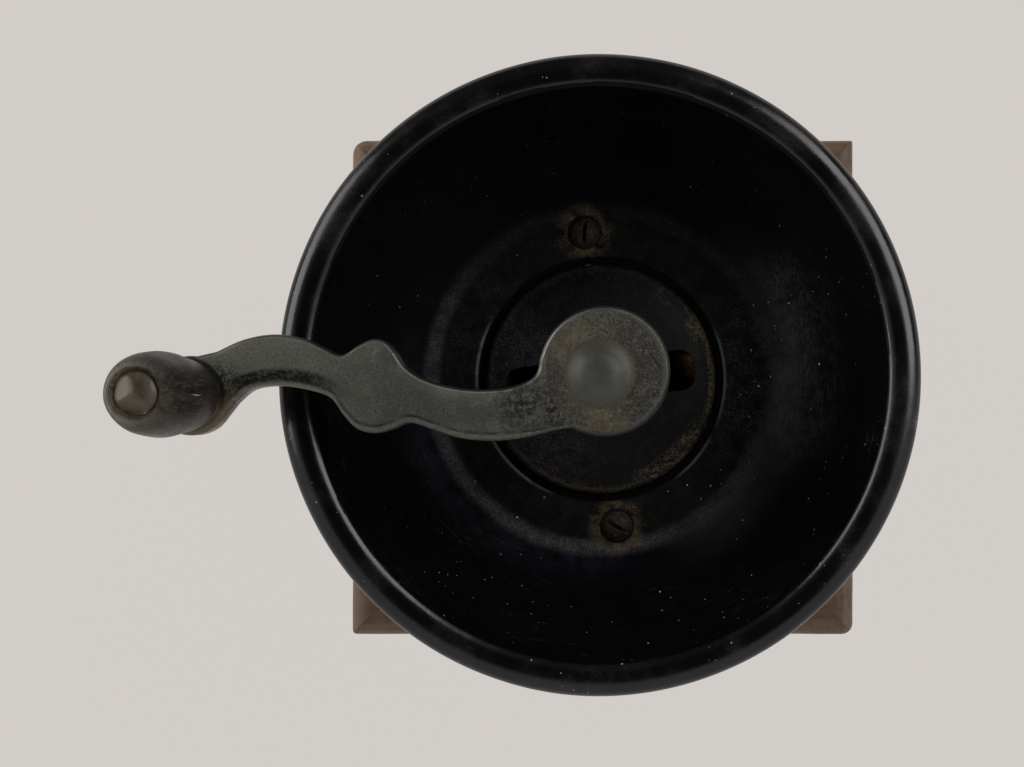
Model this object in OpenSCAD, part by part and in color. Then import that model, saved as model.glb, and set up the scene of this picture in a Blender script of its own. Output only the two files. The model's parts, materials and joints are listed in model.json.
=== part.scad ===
// Box coffee mill: an open iron hopper on a wooden box, an S-shaped crank with a turned knob,
// a cone-and-ring burr set with a screw adjuster, and a drawer for the grounds.
// Origin: on the underside of the base board, under the shaft. +Z is up and the drawer opens towards -Y.
// All lengths are in millimetres.

/* [Box] */
// Outside width of the box body
box_w = 142; // [130:1:170]
// Outside depth of the box body
box_d = 140; // [130:1:170]
// Thickness of the box walls
wall_t = 9; // [7:0.5:11]
// Thickness of the base board
base_t = 12; // [9:0.5:18]
// How far the base board stands out past the walls
base_lip = 12; // [6:0.5:20]
// Thickness of the top board
top_t = 11; // [9:0.5:16]
// How far the top board stands out past the walls
top_lip = 9.2; // [6:0.1:16]
// Radius of the rounded upper edge of both boards
edge_r = 5; // [2:0.5:7]
// Radius of the worn upright corners of both boards
board_corner_r = 1.6; // [0.5:0.1:5]
// How far the shaft stands behind the middle of the box
shaft_setback = 2.4; // [0:0.1:4]
// How far the shaft stands left of the middle of the box
shaft_left = 0.6; // [-2:0.1:2]
// Number of interlocking fingers up each corner of the box
finger_count = 7; // [5:1:11]
// Side of the square blocks in the top corners of the box
block_w = 12; // [9:0.5:14]
// Height of those corner blocks
block_h = 16; // [10:1:24]

/* [Drawer] */
// Height of the drawer
drawer_h = 42; // [32:1:60]
// Thickness of the drawer front
drawer_front_t = 10; // [8:0.5:14]
// Thickness of the drawer sides and back
drawer_side_t = 5; // [4:0.5:7]
// Thickness of the drawer bottom
drawer_bottom_t = 3; // [2:0.5:4]
// Width of the guide strips that the drawer runs between
guide_w = 3.5; // [2.5:0.5:6]
// Height of the guide strips
guide_h = 9; // [6:1:14]
// Radius of the drawer knob
drawer_knob_r = 9; // [6:0.5:13]
// How far the drawer knob stands out
drawer_knob_len = 17; // [13:1:24]

/* [Hopper] */
// Outside diameter of the hopper over its rim
hopper_d = 182; // [174:1:200]
// Depth of the hopper, from its rim to its floor
hopper_depth = 48; // [40:1:60]
// Thickness of the hopper wall
hopper_wall = 3; // [2.2:0.1:4]
// Width of the rounded bead round the rim
rim_bead = 9.4; // [7.5:0.1:11]
// Height of that bead
rim_bead_h = 8; // [6.5:0.5:10]
// How far the bead's crest stands in from the hopper's edge
rim_crest = 5.8; // [4:0.1:6.5]
// Thickness of the hopper floor
floor_t = 4; // [3.5:0.1:5]
// Radius where the flat floor turns up into the wall
floor_r = 54; // [53:0.5:58]
// Width of the gutter round the centre plate
gutter_w = 4; // [3:0.1:5]
// Thickness of the ledge that the centre plate sits on
ledge_t = 2.5; // [2:0.1:3]
// Distance from the gutter's edge to the middle of each hopper screw
hopper_screw_out = 6.5; // [5.8:0.1:7.5]
// Turn of the hopper screws and the feed slots from the box's axes, in degrees
hopper_turn = 6.3; // [0:0.1:15]

/* [Centre plate] */
// How far the centre plate stands out past the burr ring's outside
plate_lap = 4.5; // [4:0.1:5.5]
// Height of the centre plate's rim above the hopper floor
plate_rim_h = 2.4; // [2:0.1:4]
// Rise of the plate from its rim to the foot of the neck
plate_rise = 4.5; // [3:0.1:7]
// Radius of the neck at its foot
neck_foot_r = 15.5; // [14.5:0.1:16.5]
// Radius of the neck at its top
neck_top_r = 10; // [9:0.1:11.5]
// Height of the neck's top below the hopper rim
neck_drop = 3.5; // [2:0.5:8]
// Width of the two feed slots
slot_w = 12.6; // [8:0.2:15]
// How far the feed slots' outer ends stand in from the ring's outside
slot_end_in = 2.1; // [1.8:0.1:5]

/* [Burrs] */
// Height of the outer burr ring below the top of the box
ring_h = 28; // [26:0.5:34]
// Outside radius of the outer burr ring
ring_r = 31.5; // [30.5:0.1:33]
// Width of the flange round the top of the ring
flange_w = 6; // [5.5:0.1:7]
// Thickness of that flange
flange_t = 3; // [2.5:0.1:4]
// Radius of the cone burr at its foot
cone_foot_r = 22.5; // [21:0.1:23]
// Radius of the cone burr where the fine teeth start
cone_mid_r = 18.5; // [17:0.1:19]
// Height of the fine teeth
fine_h = 8; // [6:0.5:9]
// Height of the coarse flutes above them
coarse_h = 12; // [9:0.5:12]
// Gap between the two burrs at the coarsest setting
burr_gap = 0.9; // [0.8:0.05:1.5]
// Number of fine teeth on the cone burr
cone_teeth = 26; // [16:1:30]
// Number of fine teeth in the ring
ring_teeth = 30; // [18:1:34]
// Number of coarse flutes on each burr
flute_count = 6; // [4:1:8]

/* [Shaft and adjuster] */
// Radius of the shaft
shaft_r = 5; // [4.5:0.1:5.5]
// Width across flats of the square that drives the crank
square_w = 6.8; // [6:0.1:7]
// Radius of the thread on top of the shaft
stud_r = 3; // [2.5:0.1:3.1]
// Outside radius of the bush in the neck
bush_r = 7.5; // [6.8:0.1:7.8]
// Wire thickness of the spring
spring_wire = 1.6; // [1.2:0.1:1.8]
// Number of turns in the spring
spring_turns = 4; // [3:0.5:4.5]
// Thickness of the lower bridge
bridge_t = 6; // [5:0.5:8]
// Width of the lower bridge
bridge_w = 13; // [11:0.5:16]
// Height of the bridge's legs
leg_h = 8; // [7:0.5:11]
// Radius of the adjusting screw's thread
adjuster_r = 4; // [3.5:0.1:4.5]
// Radius of the adjusting screw's thumb head
thumb_r = 9.5; // [8:0.5:12]
// Thickness of that head
thumb_t = 4; // [3:0.5:6]
// Thickness of the jam nut
jam_t = 3.5; // [3:0.1:5]
// How far the adjusting screw can lift the shaft
lift_max = 1.2; // [0.8:0.1:1.2]

/* [Crank] */
// Distance from the shaft to the knob's spindle
crank_len = 112.6; // [106:0.1:122]
// Direction of the crank at rest, in degrees
crank_turn = 183.1; // [0:0.1:360]
// Thickness of the crank arm
arm_t = 7.5; // [6:0.1:9]
// Gap between the hopper rim and the arm
arm_gap = 4.5; // [3:0.1:8]
// Radius of the hub
hub_r = 17.9; // [17:0.1:19]
// How far the hub's centre stands behind the shaft, away from the arm
hub_back = 1.5; // [0:0.1:2]
// How far the hub's centre stands off the arm's line
hub_side = 0.6; // [0:0.1:2]
// How far the hub reaches down below the arm
hub_drop = 3; // [1:0.1:4]
// Radius of the eye at the knob end
eye_r = 10.9; // [10:0.1:12]
// How far the eye's centre stands in from the spindle
eye_in = 0.9; // [0:0.1:1.5]
// Radius of the low round nut that holds the crank
cap_nut_r = 8.2; // [7:0.1:10]
// Height of that nut
cap_nut_h = 3.4; // [3:0.1:6]

/* [Knob] */
// Length of the knob
knob_len = 38.7; // [32:0.1:46]
// Radius of the knob at its foot
knob_foot_r = 10; // [9:0.1:10.5]
// Radius of the knob where it is thickest
knob_max_r = 11.1; // [10.8:0.1:13]
// Radius of the knob's top
knob_top_r = 6.9; // [6.6:0.1:8]
// Radius of the spindle that the knob turns on
spindle_r = 3; // [2.5:0.1:3.5]
// Radius of the spindle's domed head
spindle_head_r = 5.5; // [4.5:0.1:5.8]
// Height of the raised seat under the knob
seat_h = 3; // [1:0.1:5]

/* [Hidden] */

$fn = 48;
eps = 0.01;              // overshoot of a cut past the face it opens

// Named clearances
run_gap = 0.05;          // radial gap of a turning fit
thread_gap = 0.05;       // radial gap round a screw in its hole
loose_gap = 0.3;         // gap between pieces that pass each other
hole_gap = 1;            // gap round the works in the top board
drawer_gap = 0.6;        // gap round the drawer front

// Heights of the fixed parts, from the floor up
thread_room = lift_max + loose_gap;
mill_drop = ring_h + leg_h + bridge_t + jam_t + thread_room + thumb_t;
thumb_clear = 1.5;
opening_h = drawer_h + 2 * drawer_gap;
box_h = opening_h + mill_drop - top_t + thumb_clear;
wall_top = base_t + box_h;
deck = wall_top + top_t;
floor_z = deck + floor_t;
rim_z = floor_z + hopper_depth;
ledge_z = deck + ledge_t;
opening_z = base_t + opening_h;

// Heights of the mill works, from the deck down
ring_z = deck - ring_h;
bridge_top = ring_z - leg_h;
bridge_z = bridge_top - bridge_t;
jam_z = bridge_z - jam_t;
thumb_top = jam_z - thread_room;
thumb_z = thumb_top - thumb_t;
hub_rise = 2;            // the bridge's threaded hub stands this far above its bar
ball_r = 2.5;
ball_seat = 2;           // depth of the ball's seat in the shaft's foot
bridge_hub_z = bridge_top + hub_rise;
screw_tip = bridge_hub_z - 1;
ball_z = screw_tip + run_gap + ball_r;
shaft_foot = ball_z + ball_r + run_gap - ball_seat;

// Cone burr
cone_inset = 0.5;        // the cone's foot stands this far above the ring's
cone_z = ring_z + cone_inset;
cone_mid_z = cone_z + fine_h;
cone_top_z = cone_mid_z + coarse_h;
cone_top_r = 9.5;
washer_t = 1;
spring_z = cone_top_z + washer_t;

// Hopper
rim_r = hopper_d / 2;
crest_r = rim_r - rim_crest;
bowl_in_r = rim_r - rim_bead;
bowl_curve_z = rim_z - rim_bead_h / 2;
flange_r = ring_r + flange_w;
hole_r = flange_r + hole_gap;
ledge_in_r = ring_r - 0.5;

// Centre plate
plate_r = ring_r + plate_lap;
gutter_r = plate_r + gutter_w;
hopper_screw_circle = gutter_r + hopper_screw_out;
slot_out_r = ring_r - slot_end_in;
plate_rim_z = floor_z + plate_rim_h;
neck_foot_z = plate_rim_z + plate_rise;
neck_z = rim_z - neck_drop;
plate_skin = 4.5;        // thickness of the plate over the throat
plate_edge_r = 2;
slot_in_r = neck_foot_r + 1;
bush_flange_r = bush_r + 2;
bush_flange_t = 2;
plate_under_z = plate_rim_z + plate_rise - plate_skin;
bush_z = plate_under_z - bush_flange_t;
plate_screw_circle = ring_r + flange_w / 2;
plate_screw_r = 1.8;
plate_screw_head_r = flange_w / 2 - 0.2;
plate_screw_count = 3;
plate_screw_bite = ledge_z + 2.6;

// Crank
arm_z = rim_z + arm_gap;
arm_top = arm_z + arm_t;
hub_z = arm_z - hub_drop;
square_top = arm_top - 3;
stud_top = arm_top + cap_nut_h - 1.4;
square_z = hub_z;        // the hub rests on the shoulder where the shaft turns square
seat_z = arm_top + seat_h;
knob_washer_t = 1;
knob_z = seat_z + knob_washer_t + 2 * run_gap;
knob_top = knob_z + knob_len;
head_sink = 4.2;         // depth of the counterbore for the spindle's head
head_top = knob_top + 0.6;

// Screws
hopper_screw_r = 2.4;
hopper_screw_head_r = 5;
hopper_screw_head_h = 3.2;
wood_screw_r = 2;
wood_screw_head_r = 4;
bridge_screw_r = 2;
bridge_screw_bite = 8;   // depth of the bridge screws' holes in the ring
bridge_screw_circle = ring_r - 3.3;
bridge_end = 4;          // bridge beyond the middle of each of its screws

// Box corners
pitch = box_h / finger_count;
half_in = box_w / 2 - wall_t;
drawer_half = half_in - guide_w - loose_gap;
drawer_y = -box_d / 2;
drawer_len = box_d - wall_t - 1.5;
drawer_z = base_t + drawer_gap;
drawer_top = drawer_z + drawer_h;
side_drop = 1.2;         // the drawer's sides stop this far below its front
drawer_side_z = base_t + loose_gap;
drawer_side_top = drawer_top - side_drop;
groove_z = drawer_side_z + 4;
groove_d = 2;
nail_r = 0.9;
knob_screw_r = 1.6;
drawer_mid_z = drawer_z + drawer_h / 2;

// ---------------------------------------------------------------- helpers

// Points of an ellipse's arc about c, from angle a to angle b in n steps
function arc(c, rx, ry, a, b, n = 12) =
    [for (i = [0:n]) let (t = a + (b - a) * i / n) [c[0] + rx * cos(t), c[1] + ry * sin(t)]];

// A smooth curve through a list of points, with n steps between each pair
function bend(p, i, t) =
    let (k = len(p) - 1, a = p[max(i - 1, 0)], b = p[i], c = p[min(i + 1, k)], d = p[min(i + 2, k)])
    0.5 * (2 * b + (c - a) * t + (2 * a - 5 * b + 4 * c - d) * t * t + (3 * b - a - 3 * c + d) * t * t * t);
function smooth(p, n = 4) =
    concat([for (i = [0:len(p) - 2]) for (j = [0:n - 1]) bend(p, i, j / n)], [p[len(p) - 1]]);

function reversed(p) = [for (i = [len(p) - 1:-1:0]) p[i]];

// A cylinder between two heights
module post(r, z0, z1) {
    translate([0, 0, z0]) cylinder(r = r, h = z1 - z0);
}

// A box between two corners
module block(a, b) {
    translate(a) cube(b - a);
}

// Things in the box's own frame, whose middle stands in front of the shaft
module in_box() {
    translate([shaft_left, -shaft_setback, 0]) children();
}

// Children at the four corners that lie inset from the box's outside
module at_corners(inset) {
    hx = box_w / 2 - inset;
    hy = box_d / 2 - inset;
    for (x = [-hx, hx], y = [-hy, hy]) translate([x, y, 0]) children();
}

// Children on both sides of the shaft, along the hopper's own front-to-back line
module at_hopper_screws() {
    for (a = [90, 270]) rotate([0, 0, a + hopper_turn]) translate([hopper_screw_circle, 0, 0]) children();
}

module at_plate_screws() {
    for (i = [0:plate_screw_count - 1])
        rotate([0, 0, hopper_turn + 90 + 360 * i / plate_screw_count])
            translate([plate_screw_circle, 0, 0]) children();
}

module at_bridge_screws() {
    for (a = [0, 180]) rotate([0, 0, a]) translate([bridge_screw_circle, 0, 0]) children();
}

// The crank's own frame: +X from the shaft to the knob
module in_crank() {
    rotate([0, 0, crank_turn]) children();
}

module at_knob() {
    in_crank() translate([crank_len, 0, 0]) children();
}

// A domed head of radius r and height h standing on z = 0
module dome(r, h) {
    ball = (r * r + h * h) / (2 * h);
    intersection() {
        translate([0, 0, h - ball]) sphere(r = ball, $fn = 64);
        cylinder(r = r + 1, h = h + 1);
    }
}

// A slotted wood screw pointing down from z = 0, with a domed head above it
module round_screw(shank_r, length, head_r, head_h, slot_turn = 0) {
    difference() {
        dome(head_r, head_h);
        rotate([0, 0, slot_turn])
            translate([-head_r - 1, -0.6, head_h * 0.45]) cube([2 * head_r + 2, 1.2, head_h]);
    }
    post(shank_r, -length, eps);
}

// A slotted countersunk screw pointing up from z = 0, its head flush with z = 0
module flat_screw(shank_r, length, head_r) {
    difference() {
        union() {
            cylinder(r1 = head_r, r2 = shank_r, h = head_r - shank_r);
            post(shank_r, 0, length);
        }
        translate([-head_r - 1, -0.5, -eps]) cube([2 * head_r + 2, 1, 1.2]);
    }
}

module flat_screw_hole(shank_r, length, head_r) {
    cylinder(r1 = head_r + thread_gap, r2 = shank_r + thread_gap, h = head_r - shank_r);
    post(shank_r + thread_gap, -eps, length + thread_gap);
    post(head_r + thread_gap, -eps, 0);
}

// ---------------------------------------------------------------- box

// Section of a board, w wide and t thick, with its two upper corners rounded
module board_section(w, t) {
    square_t = t - edge_r;
    translate([-w / 2, 0]) square([w, square_t]);
    translate([-w / 2 + edge_r, 0]) square([w - 2 * edge_r, t]);
    for (x = [-1, 1]) translate([x * (w / 2 - edge_r), square_t]) circle(r = edge_r);
}

module board_plan(w, d) {
    square([w - 2 * board_corner_r, d], center = true);
    square([w, d - 2 * board_corner_r], center = true);
    for (x = [-1, 1], y = [-1, 1])
        translate([x * (w / 2 - board_corner_r), y * (d / 2 - board_corner_r)]) circle(r = board_corner_r);
}

// A board with mitred round edges that stands out past the box by lip, standing on z = 0
module moulded_board(lip, t) {
    w = box_w + 2 * lip;
    d = box_d + 2 * lip;
    intersection() {
        rotate([90, 0, 90]) translate([0, 0, -w]) linear_extrude(2 * w) board_section(d, t);
        rotate([90, 0, 0]) translate([0, 0, -d]) linear_extrude(2 * d) board_section(w, t);
        linear_extrude(t) board_plan(w, d);
    }
}

base_screw_inset = wall_t / 2;
block_inset = wall_t + block_w / 2;
base_screw_bite = 14;
base_screw_len = base_t + base_screw_bite;

module base_board() {
    color("saddlebrown") in_box() difference() {
        moulded_board(base_lip, base_t);
        at_corners(base_screw_inset) flat_screw_hole(wood_screw_r, base_screw_len, wood_screw_head_r);
    }
}

// Wood taken by the odd fingers, down from the top of the walls and no lower than z0
module fingers(x0, x1, y0, y1, z0) {
    for (i = [1:2:finger_count - 1]) {
        high = wall_top - i * pitch;
        low = max(high - pitch, z0);
        if (high > z0 + 1) block([x0, y0, low], [x1, y1, high]);
    }
}

// A side wall in the box's frame: side is -1 for the left and 1 for the right
module side_wall(side) {
    outer = box_d / 2;
    inner = outer - wall_t;
    x0 = side < 0 ? -box_w / 2 : box_w / 2 - wall_t;
    difference() {
        block([x0, -outer, base_t], [x0 + wall_t, outer, wall_top]);
        fingers(x0 - eps, x0 + wall_t + eps, inner, outer + eps, base_t);
        fingers(x0 - eps, x0 + wall_t + eps, -outer - eps, -inner, opening_z);
        base_screw_holes();
    }
}

module base_screw_holes() {
    at_corners(base_screw_inset) post(wood_screw_r + thread_gap, base_t - eps, base_screw_len + thread_gap);
}

module left_wall() {
    color("sienna") in_box() side_wall(-1);
}

module right_wall() {
    color("sienna") in_box() side_wall(1);
}

// A cross wall between the side walls, with its fingers through them
module cross_wall(y0, z0) {
    inner = box_w / 2 - wall_t;
    block([-inner, y0, z0], [inner, y0 + wall_t, wall_top]);
    fingers(-box_w / 2, box_w / 2, y0, y0 + wall_t, z0);
}

module back_wall() {
    color("peru") in_box() difference() {
        cross_wall(box_d / 2 - wall_t, base_t);
        base_screw_holes();
    }
}

module front_panel() {
    color("peru") in_box() cross_wall(-box_d / 2, opening_z);
}

block_screw_len = block_h + top_t * 0.6;

module top_board() {
    color("saddlebrown") difference() {
        in_box() translate([0, 0, wall_top]) difference() {
            moulded_board(top_lip, top_t);
            at_corners(block_inset) post(wood_screw_r + thread_gap, -eps, block_screw_len - block_h + 0.5);
        }
        post(hole_r, wall_top - eps, deck + eps);
        at_hopper_screws() post(hopper_screw_r + thread_gap, wall_top + 1, deck + eps);
    }
}

module corner_blocks() {
    color("burlywood") in_box() at_corners(block_inset) difference() {
        translate([-block_w / 2, -block_w / 2, wall_top - block_h]) cube([block_w, block_w, block_h]);
        translate([0, 0, wall_top - block_h])
            flat_screw_hole(wood_screw_r, block_screw_len, wood_screw_head_r);
    }
}

module block_screws() {
    color("dimgray") in_box() at_corners(block_inset)
        translate([0, 0, wall_top - block_h]) flat_screw(wood_screw_r, block_screw_len, wood_screw_head_r);
}

module base_screws() {
    color("dimgray") in_box() at_corners(base_screw_inset)
        flat_screw(wood_screw_r, base_screw_len, wood_screw_head_r);
}

module drawer_guides() {
    color("burlywood") in_box() for (side = [-1, 1]) {
        x0 = side < 0 ? -half_in : half_in - guide_w;
        block([x0, drawer_y + drawer_front_t + 2, base_t],
              [x0 + guide_w, box_d / 2 - wall_t - 1, base_t + guide_h]);
    }
}

// ---------------------------------------------------------------- drawer

drawer_back_y = drawer_y + drawer_len;

module drawer_nail_holes(gap = 0) {
    for (side = [-1, 1], z = [0.3, 0.7])
        for (y = [drawer_y + drawer_front_t * 0.75, drawer_back_y - drawer_side_t / 2])
            translate([side * drawer_half, y, drawer_side_z + (drawer_side_top - drawer_side_z) * z])
                rotate([0, -side * 90, 0]) cylinder(r = nail_r + gap, h = 2 * drawer_side_t, $fn = 24);
}

// The bottom's edges, cut as a groove or filled by the bottom itself
module bottom_slab(gap) {
    reach = drawer_half - drawer_side_t + groove_d;
    block([-reach - gap, drawer_y + drawer_front_t - groove_d - gap, groove_z - gap],
          [reach + gap, drawer_back_y - drawer_side_t + groove_d + gap, groove_z + drawer_bottom_t + gap]);
}

module drawer_front() {
    front_half = half_in - drawer_gap;
    color("peru") in_box() difference() {
        block([-front_half, drawer_y, drawer_z], [front_half, drawer_y + drawer_front_t, drawer_top]);
        for (side = [-1, 1]) {
            x0 = side < 0 ? -front_half - eps : drawer_half - drawer_side_t;
            block([x0, drawer_y + drawer_front_t / 2, drawer_side_z - 1],
                  [x0 + front_half - drawer_half + drawer_side_t + eps, drawer_y + drawer_front_t + eps,
                   drawer_top + eps]);
        }
        bottom_slab(run_gap);
        drawer_nail_holes(thread_gap);
        translate([0, drawer_y - eps, drawer_mid_z]) rotate([-90, 0, 0])
            cylinder(r = knob_screw_r + thread_gap, h = drawer_front_t + 2 * eps);
    }
}

// A drawer side in the box's frame: side is -1 for the left and 1 for the right
module drawer_side(side) {
    x0 = side < 0 ? -drawer_half : drawer_half - drawer_side_t;
    difference() {
        block([x0, drawer_y + drawer_front_t / 2, drawer_side_z],
              [x0 + drawer_side_t, drawer_back_y, drawer_side_top]);
        bottom_slab(run_gap);
        drawer_nail_holes(thread_gap);
    }
}

module drawer_left_side() {
    color("burlywood") in_box() drawer_side(-1);
}

module drawer_right_side() {
    color("burlywood") in_box() drawer_side(1);
}

module drawer_back() {
    inner = drawer_half - drawer_side_t;
    color("burlywood") in_box() difference() {
        block([-inner, drawer_back_y - drawer_side_t, drawer_side_z],
              [inner, drawer_back_y, drawer_side_top]);
        bottom_slab(run_gap);
        drawer_nail_holes(thread_gap);
    }
}

module drawer_bottom() {
    color("tan") in_box() bottom_slab(0);
}

module drawer_nails() {
    color("dimgray") in_box() drawer_nail_holes();
}

knob_stem_r = drawer_knob_r * 0.55;

module drawer_knob() {
    profile = smooth([[knob_stem_r, 0], [knob_stem_r * 0.9, 3], [drawer_knob_r * 0.8, 6.5],
                      [drawer_knob_r, drawer_knob_len - 6], [drawer_knob_r * 0.82, drawer_knob_len - 2],
                      [drawer_knob_r * 0.4, drawer_knob_len - 0.2]]);
    color("saddlebrown") in_box() translate([0, drawer_y, drawer_mid_z]) rotate([90, 0, 0]) difference() {
        rotate_extrude() polygon(concat([[0, 0]], profile, [[0, drawer_knob_len]]));
        post(knob_screw_r + thread_gap, -eps, drawer_knob_len * 0.6);
    }
}

module drawer_knob_screw() {
    color("dimgray") in_box() translate([0, drawer_y + drawer_front_t, drawer_mid_z]) rotate([-90, 0, 0])
        round_screw(knob_screw_r, drawer_front_t + drawer_knob_len * 0.6 - 1, 3.4, 2.2);
}

// ---------------------------------------------------------------- hopper

module hopper_bowl() {
    span = bowl_in_r - floor_r;
    middle = [floor_r, bowl_curve_z];
    inside = arc(middle, span, bowl_curve_z - floor_z, -90, 0, 16);
    crest = [crest_r, bowl_curve_z];
    bead_in = arc(crest, crest_r - bowl_in_r, rim_bead_h / 2, 180, 90, 7);
    bead_out = arc(crest, rim_crest, rim_bead_h / 2, 90, -60, 12);
    bead = concat(bead_in, [for (i = [1:len(bead_out) - 1]) bead_out[i]]);
    outside = arc(middle, span + hopper_wall, bowl_curve_z - deck, -4, -90, 16);
    seat = [[ledge_in_r, deck], [ledge_in_r, ledge_z], [gutter_r, ledge_z], [gutter_r + 0.6, floor_z]];
    color("#1c1c20") difference() {
        rotate_extrude($fn = 128) polygon(concat(seat, inside, bead, outside));
        at_hopper_screws() post(hopper_screw_r + thread_gap, deck - eps, floor_z + eps);
        at_plate_screws() post(plate_screw_r + thread_gap, deck - eps, ledge_z + eps);
    }
}

module hopper_screws() {
    slot_turns = [80, 320];
    length = floor_t + top_t - 1.5;
    color("#3a3028") for (i = [0, 1])
        rotate([0, 0, 90 + 180 * i + hopper_turn]) translate([hopper_screw_circle, 0, floor_z])
            round_screw(hopper_screw_r, length, hopper_screw_head_r, hopper_screw_head_h, slot_turns[i]);
}

module feed_slots() {
    corner = 3;
    reach = slot_out_r - slot_in_r;
    for (side = [0, 180]) rotate([0, 0, hopper_turn + side]) translate([slot_in_r, 0, deck])
        linear_extrude(rim_z - deck) {
            translate([0, -slot_w / 2]) square([reach - corner, slot_w]);
            translate([0, -slot_w / 2 + corner]) square([reach, slot_w - 2 * corner]);
            for (y = [-1, 1]) translate([reach - corner, y * (slot_w / 2 - corner)]) circle(r = corner);
        }
}

module centre_plate() {
    neck_blend = neck_foot_z + 7;
    edge = arc([plate_r - plate_edge_r, plate_rim_z - plate_edge_r], plate_edge_r, plate_edge_r, 0, 80, 4);
    crown = smooth([[plate_r - plate_edge_r - 1.2, plate_rim_z + 0.2], [27, plate_rim_z + plate_rise * 0.45],
                    [neck_foot_r + 4, plate_rim_z + plate_rise * 0.8], [neck_foot_r, neck_foot_z + 1.2],
                    [neck_top_r + 2, neck_blend], [neck_top_r, neck_blend + 12]], 4);
    throat_r = ledge_in_r + 1;
    bore_r = bush_r + run_gap;
    under = [[bore_r, plate_under_z], [throat_r - 6, plate_under_z], [throat_r, ledge_z],
             [plate_r, ledge_z]];
    color("#26262a") difference() {
        rotate_extrude($fn = 96)
            polygon(concat(under, edge, crown, [[neck_top_r, neck_z], [bore_r, neck_z]]));
        feed_slots();
        at_plate_screws() post(plate_screw_r + thread_gap, deck, plate_screw_bite + 0.4);
    }
}

module plate_screws() {
    color("dimgray") at_plate_screws() translate([0, 0, deck - flange_t]) mirror([0, 0, 1])
        round_screw(plate_screw_r, plate_screw_bite - deck + flange_t, plate_screw_head_r, plate_screw_r);
}

module neck_bush() {
    color("darkgoldenrod") difference() {
        union() {
            post(bush_r, bush_z, neck_z);
            post(bush_flange_r, bush_z, plate_under_z);
        }
        post(shaft_r + run_gap, bush_z - eps, neck_z + eps);
    }
}

// ---------------------------------------------------------------- burrs

// Radii of the ring where it faces the cone's fine band, and the teeth of both
ring_foot_r = cone_foot_r + burr_gap;
ring_mid_r = cone_mid_r + burr_gap;
groove = 0.8;
fine_slope = atan2(cone_foot_r - cone_mid_r, fine_h);

module outer_burr() {
    funnel_r = ledge_in_r - 1.5;
    waist_z = cone_mid_z + lift_max;
    flange_z = deck - flange_t;
    flare = cone_inset * (cone_foot_r - cone_mid_r) / fine_h;
    body = [[ring_foot_r + flare, ring_z], [ring_r, ring_z], [ring_r, flange_z], [flange_r, flange_z],
            [flange_r, deck], [funnel_r, deck], [ring_mid_r + 1.5, waist_z + 3], [ring_mid_r, waist_z],
            [ring_mid_r, cone_mid_z]];
    color("#4a4a4c") difference() {
        rotate_extrude($fn = 96) polygon(body);
        for (i = [0:ring_teeth - 1]) rotate([0, 0, 360 * i / ring_teeth])
            translate([(ring_foot_r + ring_mid_r) / 2, 0, (ring_z + cone_mid_z) / 2])
                rotate([0, -fine_slope, 0]) rotate([0, 0, 45])
                    cube([2 * groove, 2 * groove, fine_h + 4], center = true);
        for (i = [0:flute_count - 1]) rotate([0, 0, 360 * i / flute_count])
            translate([(funnel_r + ring_mid_r) / 2 + 1, 0, (deck + waist_z) / 2]) rotate([25, 26, 0])
                cylinder(r = 2.6, h = ring_h, center = true, $fn = 24);
        at_plate_screws() post(plate_screw_r + thread_gap, flange_z - eps, deck + eps);
        at_bridge_screws() post(bridge_screw_r + thread_gap, ring_z - eps, ring_z + bridge_screw_bite);
    }
}

pin_z = cone_z + 3.5;
pin_r = 1.5;
pin_len = 2 * (cone_mid_r - 4);

module inner_burr() {
    steep = atan2(cone_mid_r - cone_top_r, coarse_h);
    bore_r = shaft_r + thread_gap;
    color("#55524e") difference() {
        rotate_extrude($fn = 96) polygon([[bore_r, cone_z], [cone_foot_r, cone_z], [cone_mid_r, cone_mid_z],
                                          [cone_top_r, cone_top_z], [bore_r, cone_top_z]]);
        for (i = [0:cone_teeth - 1]) rotate([0, 0, 360 * i / cone_teeth])
            translate([(cone_foot_r + cone_mid_r) / 2, 0, (cone_z + cone_mid_z) / 2])
                rotate([0, -fine_slope, 0]) rotate([0, 0, 45])
                    cube([2 * groove, 2 * groove, fine_h + 1.2], center = true);
        for (i = [0:flute_count - 1]) rotate([0, 0, 360 * i / flute_count])
            translate([(cone_mid_r + cone_top_r) / 2 + 1.2, 0, (cone_mid_z + cone_top_z) / 2 + 1])
                rotate([-25, -steep, 0]) cylinder(r = 2.8, h = coarse_h + 4, center = true, $fn = 24);
        translate([0, 0, pin_z]) rotate([90, 0, 0])
            cylinder(r = pin_r + thread_gap, h = 2 * cone_foot_r + 2, center = true);
    }
}

module burr_pin() {
    color("silver") translate([0, 0, pin_z]) rotate([90, 0, 0])
        cylinder(r = pin_r, h = pin_len, center = true);
}

// ---------------------------------------------------------------- shaft and adjuster

module drive_shaft() {
    color("silver") difference() {
        union() {
            post(shaft_r, shaft_foot, square_z);
            in_crank() translate([-square_w / 2, -square_w / 2, square_z - eps])
                cube([square_w, square_w, square_top - square_z]);
            post(stud_r, square_z, stud_top);
        }
        translate([0, 0, pin_z]) rotate([90, 0, 0])
            cylinder(r = pin_r + thread_gap, h = 2 * shaft_r + 2, center = true);
        post(ball_r + run_gap, shaft_foot - eps, shaft_foot + ball_seat);
    }
}

spring_r = shaft_r + spring_wire / 2 + 1.2;
spring_low = spring_z + spring_wire / 2 + run_gap;
spring_high = bush_z - spring_wire / 2 - run_gap;

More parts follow.
